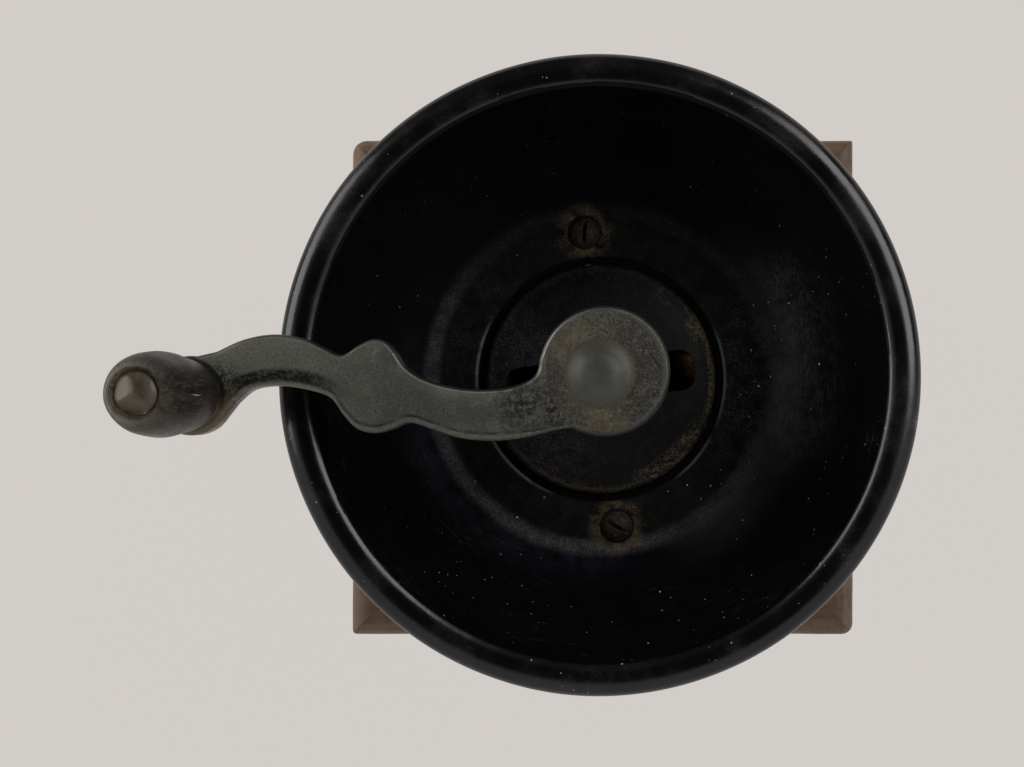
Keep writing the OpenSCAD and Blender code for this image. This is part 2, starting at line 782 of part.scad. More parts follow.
// A coil spring round the shaft, as rings of points along a helix
module spring() {
    sides = 6;
    steps = 20;
    rings = ceil(spring_turns * steps);
    function coil(i) = let (a = 360 * i / steps) [spring_r * cos(a), spring_r * sin(a),
        spring_low + (spring_high - spring_low) * i / rings];
    function ring(i) = let (a = 360 * i / steps, c = coil(i), s = spring_wire / 2)
        [for (k = [0:sides - 1]) let (b = 360 * k / sides)
            c + s * [cos(a) * cos(b), sin(a) * cos(b), sin(b)]];
    points = [for (i = [0:rings]) for (p = ring(i)) p];
    skin = [for (i = [0:rings - 1]) for (k = [0:sides - 1]) let (n = (k + 1) % sides)
        [i * sides + k, (i + 1) * sides + k, (i + 1) * sides + n, i * sides + n]];
    first = [[for (k = [0:sides - 1]) k]];
    last = [[for (k = [sides - 1:-1:0]) rings * sides + k]];
    color("lightgray") polyhedron(points, concat(skin, first, last), convexity = 8);
}

module spring_washer() {
    color("silver") difference() {
        post(spring_r + 1.6, cone_top_z, spring_z);
        post(shaft_r + 0.4, cone_top_z - eps, spring_z + eps);
    }
}

module lower_bridge() {
    reach = bridge_screw_circle + bridge_end;
    color("#3c3c40") difference() {
        union() {
            block([-reach, -bridge_w / 2, bridge_z], [reach, bridge_w / 2, bridge_top]);
            for (side = [0, 180]) rotate([0, 0, side])
                block([reach - 2 * bridge_end, -bridge_w / 2, bridge_top - eps],
                      [reach, bridge_w / 2, ring_z]);
            post(bridge_w / 2 + 2, bridge_z, bridge_hub_z);
        }
        post(adjuster_r + run_gap, bridge_z - eps, bridge_hub_z + eps);
        at_bridge_screws() post(bridge_screw_r + thread_gap, bridge_z - eps, ring_z + eps);
    }
}

module bridge_screws() {
    color("dimgray") at_bridge_screws() translate([0, 0, bridge_z]) mirror([0, 0, 1])
        round_screw(bridge_screw_r, bridge_t + leg_h + bridge_screw_bite - 1, 1.8 * bridge_screw_r,
                    1.2 * bridge_screw_r);
}

module thrust_ball() {
    color("silver") translate([0, 0, ball_z]) sphere(r = ball_r);
}

module adjusting_screw() {
    grips = 14;
    color("darkgray") difference() {
        union() {
            post(adjuster_r, thumb_top - eps, screw_tip);
            post(thumb_r, thumb_z, thumb_top);
        }
        for (i = [0:grips - 1]) rotate([0, 0, 360 * i / grips]) translate([thumb_r + 0.3, 0, thumb_z - eps])
            cylinder(r = 1.1, h = thumb_t + 2 * eps, $fn = 16);
    }
}

module jam_nut() {
    color("gray") difference() {
        translate([0, 0, jam_z]) cylinder(r = adjuster_r * 1.9, h = jam_t, $fn = 6);
        post(adjuster_r + run_gap, jam_z - eps, bridge_z + eps);
    }
}

// ---------------------------------------------------------------- crank

// The arm's two edges from the hub to the knob's eye, in hundredths of the crank's length.
function in_lengths(p) = [for (q = p) q * crank_len / 100];
inner_edge = in_lengths([
    [10.66, 0], [15.99, 0.53], [22.2, 2.31], [29.31, 2.22], [36.41, 1.07], [42.63, -1.15],
    [46.89, -4.26], [49.2, -7.99], [51.69, -10.83], [54.62, -11.37], [58.26, -9.95], [62.17, -7.9],
    [66.16, -9.77], [71.49, -12.52], [78.6, -13.77], [85.7, -12.88], [92.36, -10.12], [97.69, -7.99]]);
outer_edge = in_lengths([
    [3.55, 12.43], [10.66, 13.14], [18.65, 14.56], [26.64, 14.92], [34.64, 13.85], [40.85, 11.55],
    [46.45, 9.5], [50.98, 10.83], [55.06, 11.55], [59.33, 10.3], [62.52, 6.75], [65.36, 2.49],
    [70.16, 0.36], [77.26, -1.15], [83.93, -0.8], [89.25, 1.42], [94.14, 5.33]]);

module arm_bar() {
    translate([0, 0, arm_z]) linear_extrude(arm_t)
        polygon(concat([[0, 0]], smooth(inner_edge), reversed(smooth(outer_edge))));
}

module arm_hub() {
    translate([-hub_back, -hub_side, 0]) rotate_extrude($fn = 72)
        polygon([[0, hub_z], [hub_r - hub_drop, hub_z], [hub_r, arm_z], [hub_r, arm_top], [0, arm_top]]);
}

module arm_eye() {
    foot_r = eye_r - eye_in - 0.2;
    top_r = knob_foot_r - 0.6;
    translate([crank_len - eye_in, 0, 0]) post(eye_r, arm_z, arm_top);
    translate([crank_len, 0, 0]) rotate_extrude()
        polygon([[0, arm_z + 1], [foot_r, arm_z + 1], [foot_r, arm_top], [top_r, seat_z], [0, seat_z]]);
}

module crank_arm() {
    socket = square_w + 2 * thread_gap;
    color("#4b4d49") in_crank() difference() {
        union() {
            arm_bar();
            arm_hub();
            arm_eye();
        }
        translate([-socket / 2, -socket / 2, hub_z - eps])
            cube([socket, socket, square_top - hub_z + thread_gap]);
        post(stud_r + thread_gap, hub_z, arm_top + eps);
        translate([crank_len, 0, 0]) post(spindle_r + thread_gap, arm_z - eps, seat_z + eps);
    }
}

module cap_nut() {
    skirt = cap_nut_h * 0.3;
    color("#5b605a") in_crank() translate([0, 0, arm_top]) difference() {
        rotate_extrude($fn = 72)
            polygon(concat([[0, 0]], arc([0, skirt], cap_nut_r, cap_nut_h - skirt, 0, 90, 10)));
        post(stud_r + thread_gap, -eps, stud_top - arm_top + 0.2);
    }
}

module knob_washer() {
    color("darkgoldenrod") at_knob() difference() {
        post(knob_foot_r - 1.2, seat_z, seat_z + knob_washer_t);
        post(spindle_r + thread_gap, seat_z - eps, seat_z + knob_washer_t + eps);
    }
}

module knob_spindle() {
    tail_h = 1.6;
    head_z = knob_top - head_sink + run_gap;
    skirt = head_z + 2;
    tail = arc([0, arm_z], spindle_r + 2, tail_h, -90, 0, 6);
    head = arc([0, skirt], spindle_head_r, head_top - skirt, 0, 90, 8);
    color("#5a4c40") at_knob() rotate_extrude()
        polygon(concat(tail, [[spindle_r, arm_z], [spindle_r, head_z], [spindle_head_r, head_z]], head));
}

module knob_grip() {
    shoulder_r = (knob_max_r + knob_top_r) / 2 + 0.6;
    side = smooth([[knob_foot_r - 0.9, 0], [knob_foot_r, 1], [knob_foot_r + 0.45, knob_len * 0.2],
                   [knob_max_r, knob_len * 0.44], [knob_max_r - 0.35, knob_len * 0.64],
                   [shoulder_r, knob_len * 0.83], [knob_top_r + 0.5, knob_len * 0.95],
                   [knob_top_r - 0.2, knob_len]]);
    color("#5e4e42") at_knob() translate([0, 0, knob_z]) difference() {
        rotate_extrude($fn = 72) polygon(concat([[0, 0]], side, [[0, knob_len]]));
        post(spindle_r + run_gap, -eps, knob_len + eps);
        post(spindle_head_r + 0.3, knob_len - head_sink, knob_len + eps);
    }
}

// ---------------------------------------------------------------- nodes

base_board();
left_wall();
right_wall();
back_wall();
front_panel();
top_board();
corner_blocks();
block_screws();
base_screws();
drawer_guides();
drawer_front();
drawer_left_side();
drawer_right_side();
drawer_back();
drawer_bottom();
drawer_nails();
drawer_knob();
drawer_knob_screw();
hopper_bowl();
hopper_screws();
centre_plate();
plate_screws();
neck_bush();
outer_burr();
inner_burr();
burr_pin();
spring();
spring_washer();
drive_shaft();
lower_bridge();
bridge_screws();
thrust_ball();
adjusting_screw();
jam_nut();
crank_arm();
cap_nut();
knob_washer();
knob_spindle();
knob_grip();
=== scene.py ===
"""The looks of a box coffee mill: an open iron hopper on a wooden box, with an S-shaped crank.

Lengths are in metres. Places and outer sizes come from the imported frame, and what the frame
doesn't give is named in the first section.
"""

import json
from math import acos, atan2, cos, degrees, hypot, pi, radians, sin, tan, tau

import bmesh
import bpy
from mathutils import Matrix, Vector, noise


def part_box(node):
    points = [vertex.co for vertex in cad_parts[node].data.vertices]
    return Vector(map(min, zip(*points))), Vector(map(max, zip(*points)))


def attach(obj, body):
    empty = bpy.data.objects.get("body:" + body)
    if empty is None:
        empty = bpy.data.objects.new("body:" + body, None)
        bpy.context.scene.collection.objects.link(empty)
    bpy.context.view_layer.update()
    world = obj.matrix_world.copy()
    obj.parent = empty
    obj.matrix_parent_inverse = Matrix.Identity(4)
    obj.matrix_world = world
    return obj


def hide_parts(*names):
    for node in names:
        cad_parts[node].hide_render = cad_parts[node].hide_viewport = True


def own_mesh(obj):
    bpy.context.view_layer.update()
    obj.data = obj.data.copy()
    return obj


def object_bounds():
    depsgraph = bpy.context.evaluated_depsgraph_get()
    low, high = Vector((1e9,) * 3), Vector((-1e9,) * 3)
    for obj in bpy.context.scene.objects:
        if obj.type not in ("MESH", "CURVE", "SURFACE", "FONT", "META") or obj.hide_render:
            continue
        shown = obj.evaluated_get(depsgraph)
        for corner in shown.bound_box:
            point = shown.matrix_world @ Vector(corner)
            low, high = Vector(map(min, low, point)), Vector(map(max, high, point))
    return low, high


NOISE_SEED = 7                   # without one, the noise of the shapes would follow the clock

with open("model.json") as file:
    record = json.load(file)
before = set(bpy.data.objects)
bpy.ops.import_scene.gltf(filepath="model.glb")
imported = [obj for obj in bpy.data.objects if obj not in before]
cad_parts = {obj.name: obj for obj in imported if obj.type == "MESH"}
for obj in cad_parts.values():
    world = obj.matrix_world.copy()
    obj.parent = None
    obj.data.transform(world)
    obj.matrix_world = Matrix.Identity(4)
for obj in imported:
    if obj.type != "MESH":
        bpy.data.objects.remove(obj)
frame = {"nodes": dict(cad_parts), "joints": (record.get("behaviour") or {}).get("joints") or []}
cad_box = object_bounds()
noise.seed_set(NOISE_SEED)

# ---------------------------------------------------------------- sizes

nodes = frame["nodes"]
joints = {joint["name"]: joint for joint in frame["joints"]}
bowl_low, bowl_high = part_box("hopper_bowl")
plate_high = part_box("centre_plate")[1]
arm_low, arm_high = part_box("crank_arm")
grip_low, grip_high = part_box("knob_grip")
nut_low, nut_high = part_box("cap_nut")

# Hopper
DECK = bowl_low.z                # underside of the hopper, on the top board
RIM_Z = bowl_high.z
RIM_R = bowl_high.x
FLOOR_Z = DECK + 0.004
LEDGE_Z = DECK + 0.0025
LEDGE_IN_R = 0.031
FLOOR_R = 0.054                  # the flat floor turns up into the wall here
GUTTER_R = 0.0385
GUTTER_LIP = (0.003, 0.0013)     # width and height of the gutter's rounded lip
WALL_CURVE = ((0.0035, 0.0014), (0.0075, 0.0038), (0.012, 0.0073), (0.016, 0.0113), (0.02, 0.0168),
              (0.0231, 0.023), (0.0255, 0.0305), (0.0267, 0.0375))   # out and up from the floor's edge
BEAD_IN_R = RIM_R - 0.0096
BEAD_CREST_R = RIM_R - 0.0059
BEAD_FALL = 0.0053               # radius of the bead's inner shoulder
BEAD_H = 0.0075
WALL_T = 0.003
HOPPER_TURN = 6.3                # degrees from the box's axes to the screws and slots
SCREW_CIRCLE = 0.0465
SCREW_R = 0.005
SCREW_H = 0.0032
SCREW_SLOT_TURNS = (80, 320)     # degrees, for the back and the front screw

# Centre plate
PLATE_R = plate_high.x
PLATE_RIM_Z = FLOOR_Z + 0.0024
NECK_Z = plate_high.z
NECK_FOOT_R = 0.0155
NECK_TOP_R = 0.01
BUSH_BORE_R = 0.00755
SLOT_IN_R = NECK_FOOT_R + 0.001
SLOT_OUT_R = 0.0294
SLOT_W = 0.0126

# Crank
KNOB_X, KNOB_Y = joints["knob_spin"]["pos_m"][:2]
CRANK_LEN = hypot(KNOB_X, KNOB_Y)
CRANK_TURN = atan2(KNOB_Y, KNOB_X)
HUB_Z = arm_low.z
SEAT_Z = arm_high.z
ARM_TOP = nut_low.z
ARM_Z = ARM_TOP - 0.0075
HUB_R = 0.0179
HUB_CENTRE = (-0.0015, -0.0006)  # in the crank's own frame
EYE_R = 0.0109
EYE_CENTRE = (CRANK_LEN - 0.0009, 0)
NUT_R = 0.0082
NUT_TOP = nut_high.z

# Knob
KNOB_Z = grip_low.z
KNOB_TOP = grip_high.z
KNOB_LEN = KNOB_TOP - KNOB_Z
SPINDLE_R = 0.003
HEAD_R = 0.0055
HEAD_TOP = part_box("knob_spindle")[1].z
HEAD_SINK = 0.0042

# Boards
BOARD_EDGE_R = 0.005


def srgb(red, green, blue):
    """A colour given as 0 to 255 display values, as the linear values that shaders take."""
    def linear(value):
        value /= 255
        return value / 12.92 if value <= 0.04045 else ((value + 0.055) / 1.055) ** 2.4
    return (linear(red), linear(green), linear(blue))


def dimmed(colour, share):
    """A linear colour with that share of its light."""
    return [v * share for v in colour]


# ---------------------------------------------------------------- shapes

SHARP_ANGLE = 35                 # degrees, over which an edge stays sharp
SAME_PLACE = 1e-7                # points closer than this are one
NO_LENGTH = 1e-8


def arc(centre, rx, ry, start, end, steps):
    """Points of an ellipse's arc, from angle start to angle end in degrees."""
    angles = [radians(start + (end - start) * i / steps) for i in range(steps + 1)]
    return [(centre[0] + rx * cos(a), centre[1] + ry * sin(a)) for a in angles]


def smooth(points, steps):
    """A Catmull-Rom curve through 2-D points."""
    last = len(points) - 1
    curve = []
    for i in range(last):
        a, b, c, d = (Vector(points[min(max(k, 0), last)]) for k in range(i - 1, i + 3))
        for j in range(steps):
            t = j / steps
            bend = (2 * a - 5 * b + 4 * c - d) * t * t + (3 * b - a - 3 * c + d) * t ** 3
            curve.append(tuple(0.5 * (2 * b + (c - a) * t + bend)))
    return curve + [tuple(points[-1])]


def turned(profile, steps, centre=(0, 0)):
    """A closed outline of (radius, height) points, turned about an upright axis."""
    count = len(profile)
    verts = []
    for i in range(steps):
        a = tau * i / steps
        verts += [(centre[0] + r * cos(a), centre[1] + r * sin(a), z) for r, z in profile]
    faces = []
    for i in range(steps):
        here, there = i * count, (i + 1) % steps * count
        for k in range(count):
            n = (k + 1) % count
            faces.append((here + k, there + k, there + n, here + n))
    return verts, faces


def stacked(rows, capped=True):
    """Loops of equally many points, joined one to the next and closed by flat ends."""
    count = len(rows[0])
    verts = [point for row in rows for point in row]
    faces = []
    for i in range(len(rows) - 1):
        for k in range(count):
            n = (k + 1) % count
            faces.append((i * count + k, i * count + n, (i + 1) * count + n, (i + 1) * count + k))
    if capped:
        faces.append(tuple(range(count))[::-1])
        faces.append(tuple(range((len(rows) - 1) * count, len(rows) * count)))
    return verts, faces


def prism(outline, low, high):
    return stacked([[(x, y, z) for x, y in outline] for z in (low, high)])


def joined(*shapes):
    """Several shapes as one."""
    verts, faces = [], []
    for more_verts, more_faces in shapes:
        faces += [tuple(i + len(verts) for i in face) for face in more_faces]
        verts += more_verts
    return verts, faces


def moved(shape, place):
    """A shape moved by a matrix."""
    verts, faces = shape
    return [tuple(place @ Vector(v)) for v in verts], faces


def roughened(shape, depth, size, seed):
    """A shape whose points are pushed about by soft noise of that depth and grain size."""
    verts, faces = shape
    shift = Vector((seed, seed, seed))
    points = [Vector(v) for v in verts]
    return [tuple(p + depth * noise.noise_vector(p / size + shift)) for p in points], faces


def held(shape, node):
    """A shape whose points are kept inside the box of the CAD node that it stands for."""
    verts, faces = shape
    low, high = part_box(node)
    return [tuple(min(max(v, a), b) for v, a, b in zip(point, low, high)) for point in verts], faces


def linked(name, data):
    """A new object in the scene."""
    thing = bpy.data.objects.new(name, data)
    bpy.context.scene.collection.objects.link(thing)
    return thing


def made(name, shape, material, sharp=SHARP_ANGLE):
    """A new object of that shape, smooth apart from edges sharper than that many degrees."""
    verts, faces = shape
    mesh = bpy.data.meshes.new(name)
    mesh.from_pydata(verts, [], faces)
    edit = bmesh.new()
    edit.from_mesh(mesh)
    bmesh.ops.remove_doubles(edit, verts=edit.verts, dist=SAME_PLACE)
    bmesh.ops.dissolve_degenerate(edit, edges=edit.edges, dist=NO_LENGTH)
    bmesh.ops.recalc_face_normals(edit, faces=edit.faces)
    edit.to_mesh(mesh)
    edit.free()
    mesh.polygons.foreach_set("use_smooth", [True] * len(mesh.polygons))
    mesh.set_sharp_from_angle(angle=radians(sharp))
    mesh.materials.append(material)
    return linked(name, mesh)


def cut(thing, *tools):
    """Takes the tools' volumes away from a piece, and deletes the tools."""
    for tool in tools:
        modifier = thing.modifiers.new("cut", "BOOLEAN")
        modifier.operation = "DIFFERENCE"
        modifier.solver = "EXACT"
        modifier.object = tool
    bpy.context.view_layer.update()
    graph = bpy.context.evaluated_depsgraph_get()
    mesh = bpy.data.meshes.new_from_object(thing.evaluated_get(graph))
    thing.modifiers.clear()
    thing.data = mesh
    mesh.set_sharp_from_angle(angle=radians(SHARP_ANGLE))
    for tool in tools:
        bpy.data.objects.remove(tool)


def rounded(thing, width, angle):
    """Rounds the edges of a piece that are sharper than that many degrees."""
    bevel = thing.modifiers.new("round", "BEVEL")
    bevel.width = width
    bevel.segments = 2
    bevel.limit_method = "ANGLE"
    bevel.angle_limit = radians(angle)
    bevel.use_clamp_overlap = True
    bevel.harden_normals = True


def placed(thing, body, slot, *replaced):
    """Puts a piece on its body and hides the CAD nodes that it stands for. Its slot is not used."""
    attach(thing, body)
    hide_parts(*replaced)


# ---------------------------------------------------------------- material nodes

class Value:
    """What a node gives. Of two masks, * is where both are high, and | is the higher one."""

    def __init__(self, nodes, socket):
        self.nodes = nodes
        self.socket = socket

    def __mul__(self, other):
        return self.nodes.math("MULTIPLY", self, other)

    def __or__(self, other):
        return self.nodes.math("MAXIMUM", self, other)

    def __add__(self, other):
        return self.nodes.math("ADD", self, other)

    def __sub__(self, other):
        return self.nodes.math("SUBTRACT", self, other)

    def __abs__(self):
        return self.nodes.math("ABSOLUTE", self)

    def fade(self, start, end, low=0.0, high=1.0):
        """Goes smoothly from low to high while this goes from start to end."""
        steps = {0: self, 1: start, 2: end, 3: low, 4: high}
        return self.nodes.value("ShaderNodeMapRange", steps, interpolation_type="SMOOTHSTEP")


class Nodes:
    """The nodes of a material or of the world, from none. Most methods add one and give its value."""

    def __init__(self, owner):
        owner.use_nodes = True
        self.tree = owner.node_tree
        self.tree.nodes.clear()

    def add(self, kind, inputs, **settings):
        """A new node, whose inputs are given as numbers or as values of other nodes."""
        node = self.tree.nodes.new(kind)
        for key, value in settings.items():
            setattr(node, key, value)
        for key, value in dict(inputs).items():
            socket = node.inputs[key]
            if isinstance(value, Value):
                self.tree.links.new(value.socket, socket)
            else:
                socket.default_value = (*value, 1) if socket.type == "RGBA" else value
        return node

    def value(self, kind, inputs=(), output=0, **settings):
        return Value(self, self.add(kind, inputs, **settings).outputs[output])

    def math(self, operation, a, b=0.0):
        return self.value("ShaderNodeMath", {0: a, 1: b}, operation=operation)

    def vector(self, operation, a, b=(0, 0, 0), output="Vector"):
        return self.value("ShaderNodeVectorMath", {0: a, 1: b}, output, operation=operation)

    def mix(self, share, a, b):
        """Colour a where share is 0, and b where it is 1."""
        return self.value("ShaderNodeMix", {0: share, 6: a, 7: b}, 2, data_type="RGBA")

    def part(self, place, index):
        """A place's X, Y or Z."""
        return self.value("ShaderNodeSeparateXYZ", {0: place}, index)


class Finish(Nodes):
    """A material, whose colour is laid on coat by coat."""

    def __init__(self, name):
        self.material = bpy.data.materials.new(name)
        super().__init__(self.material)
        self.place = self.value("ShaderNodeTexCoord", output="Object")
        self.normal = None
        self.colour = None

    # The place's three coordinates, read where they are asked for, since a material may turn its place.
    x, y, z = (property(lambda self, i=i: self.part(self.place, i)) for i in range(3))

    def coat(self, colour, share):
        """Lays a colour over what is there, by that share."""
        self.colour = self.mix(share, self.colour, colour)

    def stretched(self, scale, turn=(0, 0, 0)):
        """The place, turned by degrees and then multiplied by scale on each axis."""
        turn = [radians(v) for v in turn]
        return self.vector("MULTIPLY", self.value("ShaderNodeMapping", {0: self.place, 2: turn}), scale)

    def shifted(self, offset, turn):
        """The place, moved by an offset and then turned about Z by degrees."""
        place = self.value("ShaderNodeMapping", {0: self.place, 1: offset})
        return self.value("ShaderNodeMapping", {0: place, 2: (0, 0, radians(turn))})

    def round_place(self, turns):
        """The place as (angle, radius, height), for marks that run round the shaft."""
        angle = self.math("ARCTAN2", self.y, self.x) * turns
        return self.value("ShaderNodeCombineXYZ", {0: angle, 1: self.reach(), 2: self.z})

    def grain(self, size, detail, roughness, place=None, warp=0.0):
        """Soft noise from 0 to 1, with blotches of that size."""
        values = {"Vector": place or self.place, "Scale": 1 / size, "Detail": detail,
                  "Roughness": roughness, "Distortion": warp}
        return self.value("ShaderNodeTexNoise", values)

    def specks(self, spacing, radius, share, place=None):
        """1 in small dots: spacing apart, of that radius, in that share of the places."""
        cells = self.add("ShaderNodeTexVoronoi", {"Vector": place or self.place, "Scale": 1 / spacing})
        chance = self.value("ShaderNodeSeparateColor", {0: Value(self, cells.outputs["Color"])})
        dot = Value(self, cells.outputs["Distance"]).fade(radius / spacing, 0.6 * radius / spacing)
        return dot * self.math("LESS_THAN", chance, share)

    def reach(self, centre=(0, 0, 0)):
        """Distance from an upright line through a centre."""
        offset = self.vector("MULTIPLY", self.vector("SUBTRACT", self.place, centre), (1, 1, 0))
        return self.vector("LENGTH", offset, output="Value")

    def near(self, centre, inner, outer):
        """1 within inner of an upright line through a centre, and 0 beyond outer."""
        return self.reach(centre).fade(outer, inner)

    def facing(self, index):
        """How much the surface faces along an axis, from -1 to 1."""
        return self.part(self.value("ShaderNodeNewGeometry", output="Normal"), index)

    def toward(self, azimuth, full, none):
        """1 up to full degrees from an azimuth, seen from the shaft's axis, and 0 from none degrees on."""
        azimuth, full, none = (radians(v) for v in (azimuth, full, none))
        flat = self.vector("NORMALIZE", self.vector("MULTIPLY", self.place, (1, 1, 0)))
        along = self.vector("DOT_PRODUCT", flat, (cos(azimuth), sin(azimuth), 0), "Value")
        return along.fade(cos(none), cos(full))

    def bump(self, height, depth):
        """Raises the surface by depth where height is 1."""
        values = {"Height": height, "Distance": depth}
        if self.normal:
            values["Normal"] = self.normal
        self.normal = self.value("ShaderNodeBump", values)

    def done(self, roughness, metallic=0.0, specular=0.5):
        """The material, with its nodes joined up."""
        inputs = {"Base Color": self.colour, "Roughness": roughness, "Metallic": metallic,
                  "Specular IOR Level": specular, "Normal": self.normal}
        self.add("ShaderNodeOutputMaterial", {"Surface": self.value("ShaderNodeBsdfPrincipled", inputs)})
        return self.material


# ---------------------------------------------------------------- materials

def screw_places():
    """Middles of the back and the front hopper screw."""
    angles = [radians(a + HOPPER_TURN) for a in (90, 270)]
    return [(SCREW_CIRCLE * cos(a), SCREW_CIRCLE * sin(a), FLOOR_Z) for a in angles]


def japanned_bead():
    """Black stoving varnish on cast iron, glossy, with a few chips and hairline scratches."""
    look = Finish("japanned_bead")
    black, brown, chip = srgb(10, 10, 11), srgb(26, 22, 22), srgb(170, 164, 154)
    cloud = look.grain(0.016, 4, 0.6)
    fine = look.grain(0.0008, 3, 0.65)
    look.colour = look.mix(cloud.fade(0.45, 0.75), black, brown)
    scuff = cloud.fade(0.46, 0.66) * look.grain(0.0006, 5, 0.85).fade(0.5, 0.62)
    look.coat(srgb(78, 72, 72), scuff * 0.3)
    worn_spot = look.near((0.0905, -0.0135, 0), 0.0008, 0.0032) * fine.fade(0.4, 0.55)
    look.coat(srgb(104, 100, 100), worn_spot * 0.7)
    flecks = look.specks(0.004, 0.0003, 0.3) | look.specks(0.0018, 0.00018, 0.14)
    for turn in (-40, 15, 65):
        flecks |= look.specks(0.005, 0.0002, 0.22, look.stretched((1, 0.22, 1), (0, 0, turn)))
    look.coat(chip, flecks * 0.75)
    look.bump(look.grain(0.0045, 3, 0.5), 0.00006)
    look.bump(fine, 0.000012)
    return look.done(cloud.fade(0.3, 0.75, 0.17, 0.28))


def japanned_inside():
    """The same varnish where beans have rubbed it dull, with dust low down, rust at the screws, and painted
    sheen, reflections and glints.
    """
    look = Finish("japanned_inside")
    black, soot, violet = srgb(9, 12, 11), srgb(13, 14, 14), srgb(34, 33, 46)
    dust, ochre, chip = srgb(98, 93, 92), srgb(122, 104, 78), srgb(214, 210, 202)
    cloud = look.grain(0.022, 4, 0.6)
    patchy = look.grain(0.005, 5, 0.75)
    fine = look.grain(0.00055, 3, 0.75)
    ringed = look.grain(0.0007, 3, 0.65, look.round_place(0.011))
    reach = look.reach()
    low = look.z.fade(FLOOR_Z + 0.012, FLOOR_Z + 0.001)
    across = look.x + look.y
    to_front = look.y.fade(0.015, -0.02)
    look.colour = look.mix(cloud.fade(0.35, 0.75), black, soot)
    # Painted sheen: a lighter grey laid over the floor, and a lighter band low on the right wall.
    painted_floor_sheen = reach.fade(0.057, 0.05) * patchy.fade(0.25, 0.6, 0.5, 1)
    look.coat(srgb(33, 33, 32), painted_floor_sheen * 0.48)
    painted_sheen = look.toward(-12, 24, 66) * reach.fade(0.05, 0.056) * reach.fade(0.069, 0.058)
    look.coat(srgb(38, 39, 39), painted_sheen * patchy.fade(0.25, 0.6, 0.5, 1))
    # Painted reflection: a violet tint on the lower-left wall.
    painted_violet_reflection = across.fade(-0.035, -0.065) * reach.fade(0.051, 0.055) * reach.fade(0.067, 0.055)
    look.coat(violet, painted_violet_reflection * patchy.fade(0.3, 0.65) * 0.8)
    hair = look.grain(0.0006, 4, 0.8, look.stretched((1, 0.16, 1), (0, 0, 6)))
    hair = hair.fade(0.4, 0.6)
    # Painted reflection: a pale grey patch on the right wall, streaked by the hair lines.
    painted_reflection = look.toward(-7, 5, 19) * reach.fade(0.063, 0.057)
    painted_reflection |= look.toward(-42, 8, 30) * reach.fade(0.06, 0.0555) * 0.5
    painted_reflection = painted_reflection * reach.fade(0.0525, 0.056) * (hair | 0.45)
    look.coat(srgb(62, 64, 65), painted_reflection * patchy.fade(0.3, 0.55, 0.5, 1))
    # Painted reflection: a blue-grey streaked band higher on the right wall.
    painted_streaked_reflection = look.toward(6, 16, 36) * reach.fade(0.056, 0.061) * reach.fade(0.078, 0.063)
    painted_streaked_reflection = painted_streaked_reflection * (hair | 0.12) * patchy.fade(0.34, 0.6, 0.15, 1)
    look.coat(srgb(58, 58, 64), painted_streaked_reflection * 0.8)
    marks = ringed.fade(0.54, 0.7) * cloud.fade(0.45, 0.65) * reach.fade(0.05, 0.058)
    look.coat(dust, marks * (to_front * 0.3 + 0.1) * 0.5)
    ring = reach.fade(0.0495, 0.0525) * reach.fade(0.057, 0.0532)
    strength = across.fade(0.005, -0.06, 0.14, 1) | look.toward(-40, 10, 32) * 0.45
    ring = ring * strength
    haze = fine.fade(0.4, 0.62) * patchy.fade(0.3, 0.6) * 0.75 + 0.22
    look.coat(dust, ring * haze)
    film = reach.fade(0.056, 0.05) * patchy.fade(0.4, 0.62) * fine.fade(0.48, 0.66)
    film = film * (look.toward(0, 15, 45) * 0.5 | look.toward(160, 15, 45) * 0.3 | 0.14)
    look.coat(dust, film)
    crumb = look.grain(0.0006, 5, 0.85).fade(0.48, 0.55) | 0.3
    for centre in screw_places():
        halo = look.reach(centre).fade(SCREW_R + 0.0055, SCREW_R + 0.001)
        look.coat(ochre, halo * crumb * low * patchy.fade(0.35, 0.62) * 0.6)
        look.coat(black, look.near(centre, SCREW_R + 0.0001, SCREW_R + 0.0006))
    # Painted highlight: pale blue-grey glints on the gutter's lip, placed by the worn mask where the lamps
    # would shine on it.
    lip = reach.fade(GUTTER_R, GUTTER_R + 0.0004) * reach.fade(GUTTER_R + 0.0013, GUTTER_R + 0.0007)
    worn = look.toward(0, 5, 26) | look.toward(170, 4, 20) | look.toward(225, 5, 24)
    worn |= look.toward(-40, 3, 15) * 0.8
    look.coat(srgb(100, 106, 114), lip * worn * patchy.fade(0.2, 0.5) * 0.7)
    flecks = look.specks(0.0045, 0.00034, 0.22) | look.specks(0.0021, 0.00017, 0.16)
    for turn in (35, -20, 80, 5):
        flecks |= look.specks(0.0028, 0.00013, 0.12, look.stretched((1, 0.3, 1), (0, 0, turn)))
    worn_side = look.toward(-85, 30, 75) | look.toward(10, 15, 35) * 0.8
    wear = cloud.fade(0.42, 0.56) * 0.25 | worn_side * cloud.fade(0.34, 0.5)
    look.coat(chip, flecks * wear)
    look.bump(look.grain(0.0035, 3, 0.5), 0.00004)
    look.bump(ringed, 0.000008)
    look.bump(fine, 0.000006)
    return look.done(cloud.fade(0.3, 0.7, 0.19, 0.27), specular=0.06)


def gutter_soot():
    """Oily coffee dust, packed black into the gutter round the plate."""
    look = Finish("gutter_soot")
    crumbs = look.grain(0.0007, 4, 0.75).fade(0.5, 0.72)
    clumps = look.grain(0.004, 4, 0.6).fade(0.4, 0.65)
    look.colour = look.mix(crumbs * clumps, srgb(7, 8, 8), srgb(38, 32, 27))
    look.bump(crumbs, 0.00015)
    look.bump(clumps, 0.0002)
    return look.done(0.7, specular=0.05)


